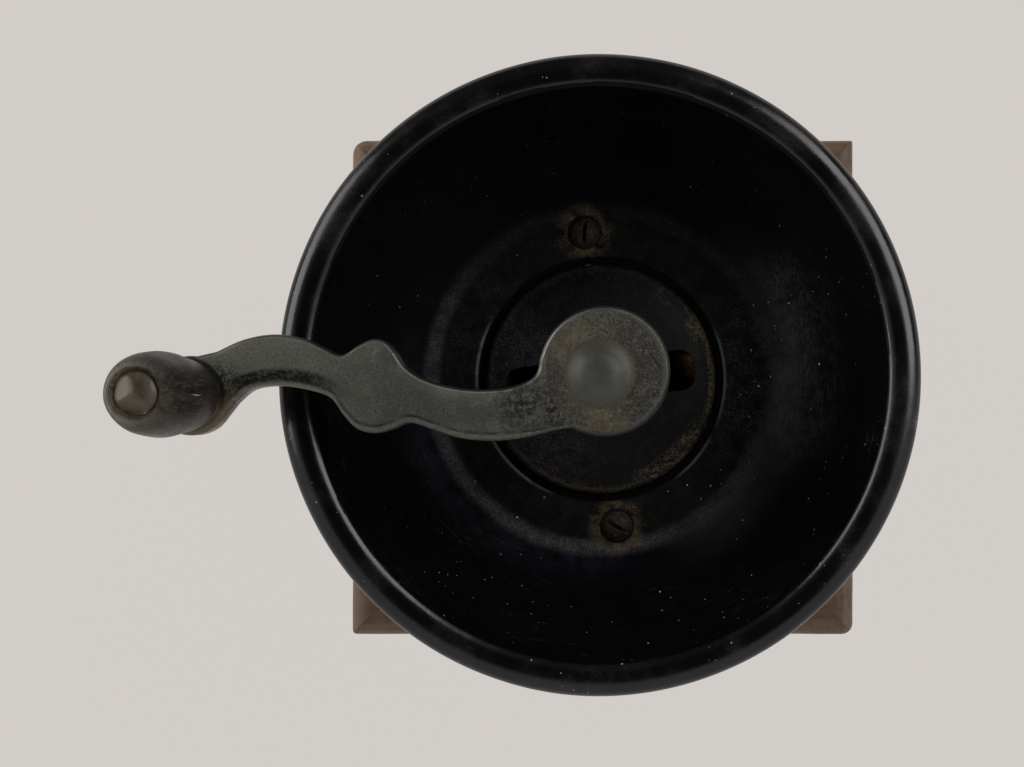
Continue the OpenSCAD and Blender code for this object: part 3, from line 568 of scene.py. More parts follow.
def japanned_plate():
    """The same varnish on the centre plate: dust-specked, painted lighter towards the left and front, and
    rubbed to bare metal round the right.
    """
    look = Finish("japanned_plate")
    black, soot = srgb(7, 7, 8), srgb(23, 21, 24)
    ochre, dust = srgb(118, 104, 78), srgb(104, 95, 93)
    cloud = look.grain(0.009, 4, 0.65)
    patchy = look.grain(0.0035, 4, 0.7)
    fine = look.grain(0.0005, 3, 0.75)
    # Painted light: the plate is lighter towards the left and front, and its dust specks are thicker on the
    # left.
    to_left = look.toward(200, 30, 85)
    to_front = look.toward(-100, 20, 75)
    painted_lit_sides = to_left | to_front * 0.6
    look.colour = look.mix(cloud.fade(0.4, 0.7) * 0.4 | painted_lit_sides, black, soot)
    speckle = fine.fade(0.46, 0.62) * patchy.fade(0.3, 0.6)
    look.coat(dust, speckle * (to_left * 0.38 | 0.1))
    band = look.reach().fade(PLATE_R - 0.0065, PLATE_R - 0.003) * cloud.fade(0.38, 0.54)
    band = band * (look.toward(38, 8, 22) | look.toward(-48, 10, 28))
    edge = look.reach().fade(PLATE_R - 0.0028, PLATE_R - 0.0014)
    edge = edge * (look.toward(10, 15, 38) * 0.55 | to_front * 0.3 | 0.08)
    crust = look.grain(0.001, 5, 0.85).fade(0.45, 0.56)
    look.coat(ochre, (band * 0.6 | edge) * crust)
    dash = look.stretched((0.2, 1, 1), (0, 0, 25))
    flecks = look.specks(0.003, 0.0002, 0.15) | look.specks(0.0024, 0.00012, 0.15, dash)
    look.coat(srgb(176, 170, 158), flecks * 0.5)
    look.bump(patchy, 0.00008)
    look.bump(fine, 0.00003)
    return look.done(cloud.fade(0.3, 0.7, 0.42, 0.56), specular=0.1)


def crank_iron():
    """Forged iron with its black mostly worn off: smooth in the hand's reach and scaly at both ends, with
    painted shade and highlights on its edges, round the knob's foot and on the hub.
    """
    look = Finish("crank_iron")
    look.place = look.stretched((1, 1, 1), (0, 0, -degrees(CRANK_TURN)))
    iron, pale, dark = srgb(85, 86, 80), srgb(100, 100, 91), srgb(22, 22, 23)
    ochre, brown = srgb(132, 117, 88), srgb(66, 56, 42)
    bright = srgb(150, 148, 138)
    cloud = look.grain(0.007, 4, 0.6)
    patchy = look.grain(0.0035, 4, 0.7)
    scale = look.grain(0.0012, 5, 0.85)
    pits = look.grain(0.0006, 4, 0.85)
    back = look.facing(1)
    front = back * -1
    outer_half = look.x.fade(0.055, 0.085)
    look.colour = look.mix(cloud.fade(0.35, 0.68), iron, pale)
    look.coat(srgb(114, 114, 104), outer_half * 0.8)
    look.coat(dark, pits.fade(0.5, 0.6) * patchy.fade(0.25, 0.6) * 0.55)
    look.coat(bright, pits.fade(0.48, 0.38) * patchy.fade(0.3, 0.6) * 0.25)
    # Painted shade: a dark band on the front shoulders where they turn down, broken up by patchy noise.
    line = front.fade(0.02, 0.14) * front.fade(0.4, 0.2)
    look.coat(dark, line * patchy.fade(0.3, 0.6) * 0.75)
    # Painted highlight: a pale line along the bar's back edges, strongest between the hub and the middle.
    edge = back.fade(0.04, 0.16) * back.fade(0.5, 0.3) * look.x.fade(0, 0.013)
    edge = edge * look.x.fade(0.058, 0.045, 0.2, 1)
    look.coat(bright, edge * 0.8)
    # Painted shade: the sides that face the back are darkened.
    look.coat(dark, back.fade(0.45, 0.75) * 0.8)
    arch = abs(look.reach((0.0885, 0.03, 0)) - 0.0342)
    arch = arch.fade(0.0025, 0.0011) * look.x.fade(0.067, 0.079) * look.x.fade(0.102, 0.098)
    arch = arch * look.y.fade(0.006, 0.002)
    lumps = scale.fade(0.44, 0.5) | 0.65
    look.coat(dark, arch * lumps * patchy.fade(0.15, 0.35))
    shade = look.near((0.0475, -0.0075, 0), 0.002, 0.0065)
    look.coat(dark, shade * back.fade(0.05, 0.3))
    wrist = look.near((0.1035, -0.002, 0), 0.002, 0.009)
    neck = look.near((0.0115, 0.008, 0), 0.003, 0.011) | look.near((0.0205, 0.0075, 0), 0.001, 0.013)
    flakes = (wrist | neck) * scale.fade(0.465, 0.505)
    look.coat(dark, flakes * patchy.fade(0.2, 0.4))
    tips = (neck | wrist * 0.5) * pits.fade(0.54, 0.62)
    look.coat(ochre, tips * 0.55)
    on_eye = look.near((CRANK_LEN, 0, 0), 0.0105, 0.0145) * look.y.fade(-0.003, 0.003)
    bark = look.mix(scale.fade(0.46, 0.62), srgb(92, 80, 60), brown)
    bark = look.mix(pits.fade(0.5, 0.62) * 0.4, bark, ochre)
    look.coat(bark, on_eye * 0.9)
    # Painted shadow: a dark crescent on the arm just round the knob's foot, on one side.
    darkening = look.near((CRANK_LEN, 0, 0), 0.0102, 0.011) * look.y.fade(0.005, 0)
    look.coat(dark, darkening * 0.9)
    hub = look.near((*HUB_CENTRE, 0), HUB_R - 0.0024, HUB_R - 0.001)
    tan_side = look.near((0.0075, -0.0085, 0), 0.001, 0.011) | look.near((-0.002, 0.0135, 0), 0.001, 0.01)
    tan_side |= look.near((0.0015, 0.0095, 0), 0.001, 0.008)
    # Painted shade: the hub's disc darkens from the knob side towards the far side.
    disc = look.mix(look.x.fade(0.004, -0.012), srgb(64, 61, 53), srgb(38, 35, 35))
    disc = look.mix(look.near((0.013, 0.002, 0), 0.002, 0.011) * patchy.fade(0.3, 0.55) * 0.8, disc, dark)
    disc = look.mix(tan_side * patchy.fade(0.25, 0.5) * 0.6, disc, srgb(112, 99, 74))
    blotch = look.grain(0.0022, 5, 0.8)
    disc = look.mix(blotch.fade(0.5, 0.54) * 0.6, disc, dark)
    disc = look.mix(blotch.fade(0.48, 0.44) * 0.5, disc, srgb(96, 89, 75))
    top_side = look.near((-0.001, -0.0135, 0), 0.002, 0.009)
    disc = look.mix(top_side * 0.5, disc, srgb(92, 86, 76))
    disc = look.mix(scale.fade(0.475, 0.515) * look.x.fade(0.006, -0.012, 0.6, 0.85), disc, dark)
    disc = look.mix(pits.fade(0.5, 0.46) * 0.2, disc, bright)
    rust = pits.fade(0.49, 0.54) * (tan_side * 0.4 | 0.12)
    disc = look.mix(rust * patchy.fade(0.25, 0.5), disc, ochre)
    look.coat(disc, hub)
    # Painted shade: the hub's bevelled rim is darkened, apart from the side towards the knob.
    bevel = look.near((*HUB_CENTRE, 0), HUB_R + 0.0005, HUB_R + 0.002) * look.facing(2).fade(0.97, 0.85)
    bevel = bevel * look.x.fade(0.012, 0.004)
    look.coat(dark, bevel * 0.75)
    crack = look.shifted((0.01525, 0.0026, 0), -124.5)
    bend = look.value("ShaderNodeTexNoise", {"Vector": crack, "Scale": 900}, "Color")
    bend = look.vector("MULTIPLY", look.vector("SUBTRACT", bend, (0.5, 0.5, 0.5)), (0.0004, 0.0012, 0))
    crack = look.vector("ABSOLUTE", look.vector("ADD", crack, bend))
    split = look.part(crack, 1).fade(0.00035, 0.00015) * look.part(crack, 0).fade(0.0033, 0.0022)
    look.coat(dark, split * 0.9)
    dash = look.stretched((1, 0.08, 1), (0, 0, -32))
    scratch = look.specks(0.0055, 0.00013, 0.35, dash) | look.specks(0.003, 0.00022, 0.3)
    look.coat(srgb(186, 182, 170), scratch * 0.6)
    look.bump(look.grain(0.012, 2, 0.5), 0.0002)
    look.bump(scale, 0.00004)
    look.bump(split * -1, 0.0002)
    dull = hub * 0.4 | bevel
    return look.done(cloud.fade(0.3, 0.7, 0.34, 0.44) + dull * 0.3, metallic=0.35)


def boss_iron():
    """The low nut on the hub, handled smooth."""
    look = Finish("boss_iron")
    cloud = look.grain(0.004, 4, 0.6)
    look.colour = look.mix(cloud.fade(0.35, 0.7), srgb(66, 67, 62), srgb(80, 79, 71))
    foot = look.reach().fade(NUT_R - 0.0022, NUT_R + 0.0006)
    look.coat(srgb(62, 58, 50), foot * 0.85)
    flakes = foot * look.grain(0.0006, 4, 0.85).fade(0.49, 0.55)
    look.coat(srgb(124, 110, 84), flakes * 0.3)
    look.coat(srgb(40, 39, 37), look.grain(0.0006, 3, 0.7).fade(0.56, 0.7) * 0.5)
    look.bump(look.grain(0.002, 3, 0.6), 0.00003)
    look.bump(look.grain(0.0007, 2, 0.6, look.round_place(0.002)), 0.00001)
    return look.done(0.5, metallic=0.25)


def rusty_ring():
    """The burr ring under the plate, with rust and chaff where the slots show it; the orange chaff is
    painted extra bright, as painted light.
    """
    look = Finish("rusty_ring")
    crumbs = look.grain(0.0011, 4, 0.8)
    look.colour = look.mix(crumbs.fade(0.42, 0.58), srgb(30, 22, 16), srgb(66, 46, 28))
    # Chaff at the right slot, coloured extra bright to stand in for light that the lamps don't bring there.
    chaff = look.near((0.0275, 0.0045, 0), 0.0022, 0.0048)
    gold = look.mix(look.grain(0.0009, 4, 0.8).fade(0.42, 0.6), srgb(120, 72, 24), srgb(255, 196, 90))
    look.coat(gold, chaff * crumbs.fade(0.3, 0.5))
    red = look.near((-0.0262, -0.0035, 0), 0.001, 0.0035)
    look.coat(srgb(150, 70, 48), red * crumbs.fade(0.35, 0.55))
    look.bump(crumbs, 0.0002)
    return look.done(0.8, metallic=0.1)


def wood(name, light, dark, along, gloss=0.5, worn=0.3):
    """Old brown wood whose grain runs along one axis, darker and ringed on its end faces."""
    look = Finish(name)
    scale = [1.0, 1.0, 1.0]
    scale[along] = 0.05
    length = look.stretched(scale)
    figure = look.grain(0.016, 4, 0.6, length, 1.2)
    streaks = look.grain(0.0022, 5, 0.7, length)
    pores = look.grain(0.0006, 2, 0.6, look.stretched([0.07 if s < 1 else 1.0 for s in scale]))
    stain = look.grain(0.03, 3, 0.6)
    share = figure.fade(0.3, 0.7) * 0.6 + streaks.fade(0.3, 0.7) * 0.4
    look.colour = look.mix(share, dark, light)
    look.coat(dimmed(dark, 0.35), pores.fade(0.56, 0.68) * 0.6)
    end = abs(look.facing(along)).fade(0.7, 0.9)
    rings = look.grain(0.0016, 3, 0.6, None, 0.6).fade(0.35, 0.65)
    look.coat(look.mix(rings, dimmed(dark, 0.45), dark), end * 0.75)
    look.coat(dimmed(dark, 0.5), stain.fade(0.5, 0.75) * 0.45)
    grey = [v * 1.35 + 0.01 for v in light]
    rub = look.grain(0.006, 5, 0.75).fade(0.52, 0.7) * streaks.fade(0.35, 0.6)
    look.coat(grey, rub * worn)
    look.bump(streaks, 0.00008)
    look.bump(pores, 0.00006)
    return look.done(stain.fade(0.3, 0.7, gloss - 0.06, gloss + 0.1))


def moulded_wood(name, half_x, half_y, middle):
    """A board whose grain runs along X, but along each edge in its moulded border."""
    look = Finish(name)
    light, dark, grey = srgb(150, 119, 90), srgb(72, 52, 40), srgb(156, 132, 106)
    across_x = abs(look.x - middle[0])
    across_y = abs(look.y - middle[1])
    from_side = look.math("SUBTRACT", half_x, across_x)
    from_end = look.math("SUBTRACT", half_y, across_y)
    side = look.math("LESS_THAN", from_side, from_end) * from_side.fade(0.0062, 0.0055)
    from_edge = look.math("MINIMUM", from_side, from_end)
    border = from_edge.fade(0.0062, 0.0048)

    def along_each(size, detail, roughness, narrow, warp=0.0):
        """Grain drawn out along X, but along Y at the board's two sides."""
        ways = [look.grain(size, detail, roughness, look.stretched(scale), warp)
                for scale in ((narrow, 1, 1), (1, narrow, 1))]
        return look.value("ShaderNodeMix", {0: side, 2: ways[0], 3: ways[1]}, data_type="FLOAT")

    streak = along_each(0.0016, 5, 0.7, 0.05)
    band = along_each(0.012, 4, 0.6, 0.06, 1.0)
    share = band.fade(0.3, 0.7) * 0.55 + streak.fade(0.3, 0.7) * 0.45
    look.colour = look.mix(share, dark, light)
    worn = border * look.grain(0.004, 5, 0.7).fade(0.35, 0.65)
    look.coat(grey, worn * 0.45)
    joint = abs(from_side - from_end).fade(0.0005, 0.0002)
    look.coat(dimmed(dark, 0.4), joint * from_edge.fade(0.014, 0.01) * 0.35)
    dirt = look.grain(0.02, 4, 0.65).fade(0.5, 0.75)
    look.coat(dimmed(dark, 0.5), dirt * 0.5)
    # Darker everywhere but towards the back-left corner.
    darker_but_back_left = (look.x - look.y).fade(-0.12, -0.07)
    look.coat(dark, darker_but_back_left * 0.45)
    look.bump(streak, 0.00012)
    look.bump(look.grain(0.003, 3, 0.6), 0.00008)
    return look.done(band.fade(0.3, 0.7, 0.5, 0.64))


def knob_wood(name, foot_z, top_z):
    """Dark handled wood, turned on an upright axis: blotched with grime, darker towards its foot and rubbed
    paler at its top.
    """
    look = Finish(name)
    dark, mid, light, pale = srgb(27, 23, 23), srgb(50, 43, 39), srgb(88, 80, 68), srgb(118, 110, 92)
    along = look.stretched((1, 1, 0.08))
    figure = look.grain(0.006, 4, 0.65, along, 0.8)
    streaks = look.grain(0.0008, 4, 0.8, along)

    def up(start, end):
        """1 beyond the end share of the knob's height, fading to 0 at the start share."""
        return look.z.fade(foot_z + start * (top_z - foot_z), foot_z + end * (top_z - foot_z))

    look.colour = look.mix(figure.fade(0.32, 0.68), dark, mid)
    look.coat(light, streaks.fade(0.5, 0.62) * 0.4)
    front_side = look.y.fade(KNOB_Y - 0.002, KNOB_Y - 0.009)
    look.coat(srgb(70, 66, 58), front_side * 0.45)
    left_side = look.x.fade(KNOB_X + 0.003, KNOB_X - 0.004)
    bare = up(0.86, 0.96) * streaks.fade(0.3, 0.55) * (left_side | 0.3)
    look.coat(pale, bare * 0.6)
    # Darker in grime blotches and towards the knob's foot.
    darkening = look.grain(0.004, 5, 0.75).fade(0.5, 0.66) | up(0.5, 0)
    look.coat(srgb(18, 16, 17), darkening * 0.7)
    spots = look.specks(0.0016, 0.0003, 0.3) * look.near((KNOB_X + 0.007, KNOB_Y - 0.006, 0), 0.001, 0.004)
    look.coat(srgb(150, 144, 128), spots * 0.5)
    nick = look.vector("ABSOLUTE", look.shifted((-KNOB_X - 0.0108, 0.0063, 0), 40))
    nick = look.part(nick, 0).fade(0.0003, 0.0001) * look.part(nick, 1).fade(0.00014, 0.00005)
    look.coat(srgb(190, 182, 166), nick * up(0.46, 0.5) * 0.8)
    look.bump(streaks, 0.00006)
    look.bump(look.grain(0.004, 3, 0.6), 0.0002)
    return look.done(figure.fade(0.3, 0.7, 0.36, 0.5), specular=0.22)


def rusty_screw():
    """Old screw heads, brown-black with a crust of rust."""
    look = Finish("rusty_screw")
    crust = look.grain(0.0011, 5, 0.85)
    fine = look.grain(0.0004, 4, 0.8)
    look.colour = look.mix(crust.fade(0.48, 0.54), srgb(6, 5, 5), srgb(26, 21, 18))
    look.coat(srgb(112, 92, 66), fine.fade(0.51, 0.56) * 0.22)
    look.coat(srgb(112, 70, 40), crust.fade(0.55, 0.59) * 0.55)
    look.bump(crust, 0.0003)
    look.bump(fine, 0.00006)
    return look.done(0.62, metallic=0.35)


def metal(name, base, tint, roughness, metallic, rust, turned_marks=False):
    """Plain worn metal: tinted in clouds, pitted, and rusty by that share."""
    look = Finish(name)
    cloud = look.grain(0.006, 4, 0.6)
    fine = look.grain(0.0006, 3, 0.7)
    look.colour = look.mix(cloud.fade(0.35, 0.68), base, tint)
    flakes = look.grain(0.0024, 5, 0.8).fade(0.72 - 0.3 * rust, 0.86 - 0.3 * rust)
    look.coat(srgb(122, 74, 38), flakes * min(1.0, 0.4 + rust))
    look.coat(dimmed(base, 0.3), fine.fade(0.55, 0.75) * 0.5)
    if turned_marks:
        look.bump(look.grain(0.0005, 2, 0.6, look.round_place(0.002)), 0.00001)
    look.bump(fine, 0.00002)
    look.bump(flakes, 0.00006)
    return look.done(cloud.fade(0.3, 0.7, roughness - 0.06, roughness + 0.1), metallic)


# ---------------------------------------------------------------- iron pieces

def hopper_bowl(outer, inner, groove):
    """The hopper: seat, rounded gutter lip, floor, wall and a wide bead that leans inwards."""
    curve_z = RIM_Z - BEAD_H / 2
    span = BEAD_IN_R - FLOOR_R
    lip = arc((GUTTER_R + GUTTER_LIP[0], FLOOR_Z - GUTTER_LIP[1]), *GUTTER_LIP, 180, 90, 10)
    wall = [(FLOOR_R + out, FLOOR_Z + up) for out, up in WALL_CURVE]
    inside = smooth([(FLOOR_R - 0.004, FLOOR_Z), (FLOOR_R - 0.0008, FLOOR_Z + 0.0001)] + wall
                    + [(BEAD_IN_R, curve_z)], 6)
    fall = arc((BEAD_CREST_R, RIM_Z - BEAD_FALL), BEAD_FALL, BEAD_FALL, 135, 90, 16)
    fall_z = fall[0][1]
    bead = smooth([(BEAD_IN_R, curve_z), (BEAD_IN_R, fall_z - 0.0008), (BEAD_IN_R + 0.0001, fall_z - 0.0002),
                   fall[0]], 4)[1:] + fall[1:]
    bead += arc((BEAD_CREST_R, curve_z), RIM_R - BEAD_CREST_R, BEAD_H / 2, 90, -60, 34)[1:]
    outside = arc((FLOOR_R, curve_z), span + WALL_T, curve_z - DECK, -4, -90, 40)
    seat = [(LEDGE_IN_R, DECK), (LEDGE_IN_R, LEDGE_Z), (GUTTER_R, LEDGE_Z)]
    shape = roughened(turned(seat + lip + inside + bead + outside, 288), depth=0.00012, size=0.03, seed=3)
    thing = made("hopper_bowl_japanned", held(shape, "hopper_bowl"), outer)
    thing.data.materials.append(inner)
    thing.data.materials.append(groove)
    for face in thing.data.polygons:
        reach = hypot(face.center.x, face.center.y)
        outward_part = face.normal.x * face.center.x + face.normal.y * face.center.y
        turned_in = outward_part < 0 or face.normal.z > 0.9
        dull_edge = BEAD_IN_R + 0.0004 + 0.0007 * max(face.center.y / reach, 0)
        if reach > dull_edge or not turned_in or face.center.z < LEDGE_Z - 0.0005:
            continue
        face.material_index = 2 if reach < GUTTER_R and face.center.z < LEDGE_Z + 0.0003 else 1
    placed(thing, "mill_body", "japanned_iron", "hopper_bowl")


def slot_outline():
    """A feed slot's outline, from the neck's foot outwards, with two rounded corners."""
    corner = 0.0042
    half = SLOT_W / 2
    outer = SLOT_OUT_R - corner
    top = arc((outer, half - corner), corner, corner, 0, 90, 6)
    low = arc((outer, corner - half), corner, corner, -90, 0, 6)
    return [(SLOT_IN_R, half), (SLOT_IN_R, -half)] + low + top


def centre_plate(material):
    """The domed plate over the throat, with its neck and two feed slots."""
    edge_r = 0.002
    skin = 0.0045
    rise = 0.0045
    foot_z = PLATE_RIM_Z + rise
    blend_z = foot_z + 0.007
    under_z = PLATE_RIM_Z + rise - skin
    throat_r = LEDGE_IN_R + 0.001
    edge = arc((PLATE_R - edge_r, PLATE_RIM_Z - edge_r), edge_r, edge_r, 0, 80, 8)
    crown = smooth([(PLATE_R - edge_r - 0.0012, PLATE_RIM_Z + 0.0002), (0.027, PLATE_RIM_Z + rise * 0.45),
                    (NECK_FOOT_R + 0.004, PLATE_RIM_Z + rise * 0.8), (NECK_FOOT_R, foot_z + 0.0012),
                    (NECK_TOP_R + 0.002, blend_z), (NECK_TOP_R, blend_z + 0.012)], 8)
    under = [(BUSH_BORE_R, under_z), (throat_r - 0.006, under_z), (throat_r, LEDGE_Z), (PLATE_R, LEDGE_Z)]
    profile = under + edge + crown + [(NECK_TOP_R, NECK_Z - 0.0006), (NECK_TOP_R - 0.0006, NECK_Z),
                                      (BUSH_BORE_R, NECK_Z)]
    thing = made("centre_plate_japanned", turned(profile, 160), material)
    tools = []
    for side in (0, 180):
        turn = Matrix.Rotation(radians(HOPPER_TURN + side), 4, "Z")
        tools.append(made("slot_tool", moved(prism(slot_outline(), DECK, RIM_Z), turn), material))
    cut(thing, *tools)
    rounded(thing, 0.0004, 50)
    placed(thing, "mill_body", "japanned_iron", "centre_plate")


def hopper_screw(name, centre, slot_turn, material):
    """A slotted round-head screw that stands on the hopper's floor."""
    ball_r = (SCREW_R ** 2 + SCREW_H ** 2) / (2 * SCREW_H)
    rise = degrees(acos((ball_r - SCREW_H) / ball_r))
    dome = arc((0, SCREW_H - ball_r), ball_r, ball_r, 90 - rise, 90, 14)
    shank_r = 0.0024
    shank = [(0, -0.012), (shank_r, -0.0105), (shank_r, 0), (SCREW_R - 0.0002, 0)]
    thing = made(name, moved(turned(shank + dome, 72), Matrix.Translation(centre)), material)
    half = 0.00065
    reach = SCREW_R + 0.001
    corners = [(-reach, -half), (reach, -half), (reach, half), (-reach, half)]
    slot = prism(corners, SCREW_H * 0.45, SCREW_H * 1.5)
    place = Matrix.Translation(centre) @ Matrix.Rotation(radians(slot_turn + HOPPER_TURN), 4, "Z")
    cut(thing, made("slot_tool", moved(slot, place), material))
    rounded(thing, 0.0002, 40)
    placed(thing, "mill_body", "worn_screws", "hopper_screws")


def crank_outline():
    """The crank seen from above in its own frame: hub, S-shaped bar and eye, as one closed line."""
    hub = arc(HUB_CENTRE, HUB_R, HUB_R, -24, -298, 60)
    lower = smooth([(0.0082, 0.0144), (0.012, 0.0148), (0.021, 0.0164), (0.03, 0.0168), (0.039, 0.0156),
                    (0.046, 0.013), (0.0523, 0.0107), (0.0574, 0.0122), (0.062, 0.013), (0.0668, 0.0116),
                    (0.0704, 0.0076), (0.0736, 0.0028), (0.079, 0.0004), (0.087, -0.0013),
                    (0.0945, -0.0009), (0.0991, 0.0021), (0.1007, 0.0038), (0.1023, 0.0056),
                    (0.1039, 0.0075)], 6)
    eye = arc(EYE_CENTRE, EYE_R, EYE_R, 126, -102, 40)
    upper = smooth([(0.104, -0.0116), (0.0965, -0.0145), (0.0885, -0.0155), (0.0805, -0.0141),
                    (0.0745, -0.011), (0.07, -0.0089), (0.0656, -0.0112), (0.0615, -0.0128),
                    (0.0582, -0.0122), (0.0554, -0.009), (0.0528, -0.0048), (0.048, -0.0013),
                    (0.041, 0.0012), (0.033, 0.0025), (0.025, 0.0023), (0.0193, 0.0006),
                    (0.0169, -0.0016), (0.0161, -0.0048)], 6)
    return spaced(hub + lower + eye + upper, 0.0007)


def spaced(outline, step):
    """A closed outline as points that stand about one step apart."""
    points = [Vector(p) for p in outline] + [Vector(outline[0])]
    lengths = [0.0]
    for a, b in zip(points, points[1:]):
        lengths.append(lengths[-1] + (b - a).length)
    count = round(lengths[-1] / step)
    result, k = [], 0
    for i in range(count):
        goal = lengths[-1] * i / count
        while lengths[k + 1] < goal:
            k += 1
        share = (goal - lengths[k]) / max(lengths[k + 1] - lengths[k], 1e-9)
        result.append(tuple(points[k].lerp(points[k + 1], share)))
    return result


def outward(outline):
    """The direction out of a closed outline at each point, whichever way round it runs."""
    count = len(outline)
    area = sum(outline[i - 1][0] * y - x * outline[i - 1][1] for i, (x, y) in enumerate(outline))
    side = 1 if area > 0 else -1
    result = []
    for i in range(count):
        along = Vector(outline[(i + 2) % count]) - Vector(outline[i - 2])
        result.append(Vector((along.y, -along.x)).normalized() * side)
    return result


def crank_arm(material):
    """The forged crank: flat on top, rounded more along the edge that the palm meets."""
    outline = crank_outline()
    ways = outward(outline)
    narrow, wide, fall = 0.0011, 0.0026, 0.0019
    under_r = 0.0009
    widths = []
    for point, way in zip(outline, ways):
        on_bar = min(max((point[0] - 0.014) / 0.01, 0), 1)
        widths.append(narrow + (wide - narrow) * on_bar * max(way.y, 0) ** 0.6)

    def row(insets, z):
        return [(p[0] - w.x * d, p[1] - w.y * d, z) for p, w, d in zip(outline, ways, insets)]

    rows = []
    for i in range(4):
        a = pi / 2 * i / 3
        inset = under_r * (1 - sin(a))
        rows.append(row([inset] * len(outline), ARM_Z + under_r * (1 - cos(a))))
    for i in range(9):
        a = pi / 2 * i / 8
        rows.append(row([w * (1 - cos(a)) for w in widths], ARM_TOP - fall * (1 - sin(a))))
    hub = turned([(0, HUB_Z), (HUB_R - 0.0034, HUB_Z), (HUB_R - 0.003, HUB_Z + 0.0003),
                  (HUB_R - 0.0003, ARM_Z + 0.0004), (HUB_R - 0.0003, ARM_Z + 0.002), (0, ARM_Z + 0.002)],
                 96, HUB_CENTRE)
    seat = turned([(0, ARM_TOP - 0.002), (EYE_R - 0.0014, ARM_TOP - 0.002),
                   (EYE_R - 0.0013, ARM_TOP - 0.0004), (EYE_R - 0.0017, ARM_TOP + 0.0008),
                   (EYE_R - 0.0019, SEAT_Z - 0.0005), (EYE_R - 0.0025, SEAT_Z), (0, SEAT_Z)],
                  72, (CRANK_LEN, 0))
    turn = Matrix.Rotation(CRANK_TURN, 4, "Z")
    shape = moved(joined(stacked(rows), hub, seat), turn)
    thing = made("crank_arm_forged", shape, material, 40)
    placed(thing, "crank", "crank_iron", "crank_arm")


def cap_nut(material):
    """The low round nut, whose foot spreads and blends into the hub."""
    height = NUT_TOP - ARM_TOP
    foot_r = NUT_R + 0.0016
    crown = smooth([(foot_r, 0), (NUT_R + 0.0003, height * 0.1), (NUT_R * 0.85, height * 0.34),
                    (NUT_R * 0.62, height * 0.72), (NUT_R * 0.33, height * 0.95), (0, height)], 8)
    shape = turned([(0, -0.0006), (foot_r, -0.0006)] + crown, 96)
    thing = made("cap_nut_worn", moved(shape, Matrix.Translation((0, 0, ARM_TOP))), material)
    placed(thing, "crank", "crank_iron", "cap_nut")


def spring_coil(material):
    """The coil spring under the bush."""
    low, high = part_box("spring")
    turns, steps, sides = 4, 40, 12
    wire_r = 0.0008
    coil_r = high.x - wire_r
    rise = (high.z - low.z - 2 * wire_r) / (turns * steps)
    verts = []
    for i in range(turns * steps + 1):
        a = tau * i / steps
        for k in range(sides):
            b = tau * k / sides
            reach = coil_r + wire_r * cos(b)
            z = low.z + wire_r + rise * i + wire_r * sin(b)
            verts.append((reach * cos(a), reach * sin(a), z))
    faces = [tuple(range(sides)), tuple(reversed(range(len(verts) - sides, len(verts))))]
    for i in range(turns * steps):
        for k in range(sides):
            here, beside = i * sides + k, i * sides + (k + 1) % sides
            faces.append((here, here + sides, beside + sides, beside))
    thing = made("spring_coiled", (verts, faces), material)
    placed(thing, "mill_body", "bright_steel", "spring")
    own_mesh(thing)


# ---------------------------------------------------------------- knob

def knob_grip(material):
    """The turned knob with the sunk end that its spindle's head sits in."""
    foot_r, max_r, top_r = 0.01, 0.0111, 0.0069
    shoulder_r = (max_r + top_r) / 2 + 0.0006
    sink_r = HEAD_R + 0.0003
    lean = 0.00026                       # the sunk end stands off centre, so the head meets it on one side
    side = smooth([(foot_r - 0.0009, 0), (foot_r, 0.001), (foot_r + 0.00045, KNOB_LEN * 0.2),
                   (max_r, KNOB_LEN * 0.44), (max_r - 0.00035, KNOB_LEN * 0.64),
                   (shoulder_r, KNOB_LEN * 0.83), (top_r + 0.0005, KNOB_LEN * 0.95),
                   (top_r - 0.0001, KNOB_LEN - 0.0005)], 10)
    groove = KNOB_LEN - 0.0013
    lip = [(top_r - 0.0004, KNOB_LEN), (sink_r + 0.0006, KNOB_LEN - 0.0001),
           (sink_r + 0.0001, KNOB_LEN - 0.0008), (sink_r - 0.0001, groove)]
    bore = [(HEAD_R + 0.00003, groove - 0.0002), (HEAD_R + 0.00003, KNOB_LEN - HEAD_SINK),
            (SPINDLE_R + 0.00005, KNOB_LEN - HEAD_SINK), (SPINDLE_R + 0.00005, 0)]
    verts, faces = turned(side + lip + bore, 96)
    sunk = groove - 0.0001
    verts = [(x + lean if z > sunk and hypot(x, y) < top_r else x, y, z) for x, y, z in verts]
    shape = moved((verts, faces), Matrix.Translation((KNOB_X, KNOB_Y, KNOB_Z)))
    shape = held(roughened(shape, depth=0.00012, size=0.006, seed=7), "knob_grip")
    placed(made("knob_grip_turned", shape, material, 40), "knob", "knob_wood", "knob_grip")


def knob_spindle(material):
    """The riveted spindle. Its head is a round dome that blows have left slightly uneven."""
    head_z = KNOB_TOP - HEAD_SINK + 0.00005 - ARM_Z
    skirt = head_z + 0.0029
    top = HEAD_TOP - ARM_Z
    tail = arc((0, 0), SPINDLE_R + 0.002, 0.0016, -90, 0, 8)
    rise = top - skirt
    ball_r = (HEAD_R ** 2 + rise ** 2) / (2 * rise)
    rim = degrees(acos(HEAD_R / ball_r))
    head = arc((0, top - ball_r), ball_r, ball_r, rim, 90, 20)
    shape = turned(tail + [(SPINDLE_R, 0), (SPINDLE_R, head_z), (HEAD_R - 0.0002, head_z)] + head, 96)
    blows = [(160, 21), (265, 26)]
    soft = 0.0003
    verts = []
    for x, y, z in shape[0]:
        for way, slope in blows:
            a = radians(way)
            out = x * cos(a) + y * sin(a)
            struck = top + 0.0002 - out * tan(radians(slope))
            near = max(soft - abs(z - struck), 0) / soft
            if z > skirt:
                z = min(z, struck) - near * near * soft / 4
        verts.append((x, y, z))
    shape = moved((verts, shape[1]), Matrix.Translation((KNOB_X, KNOB_Y, ARM_Z)))
    shape = held(roughened(shape, depth=0.00008, size=0.002, seed=11), "knob_spindle")
    placed(made("knob_spindle_riveted", shape, material, 50), "crank", "spindle_steel", "knob_spindle")


# ---------------------------------------------------------------- boards

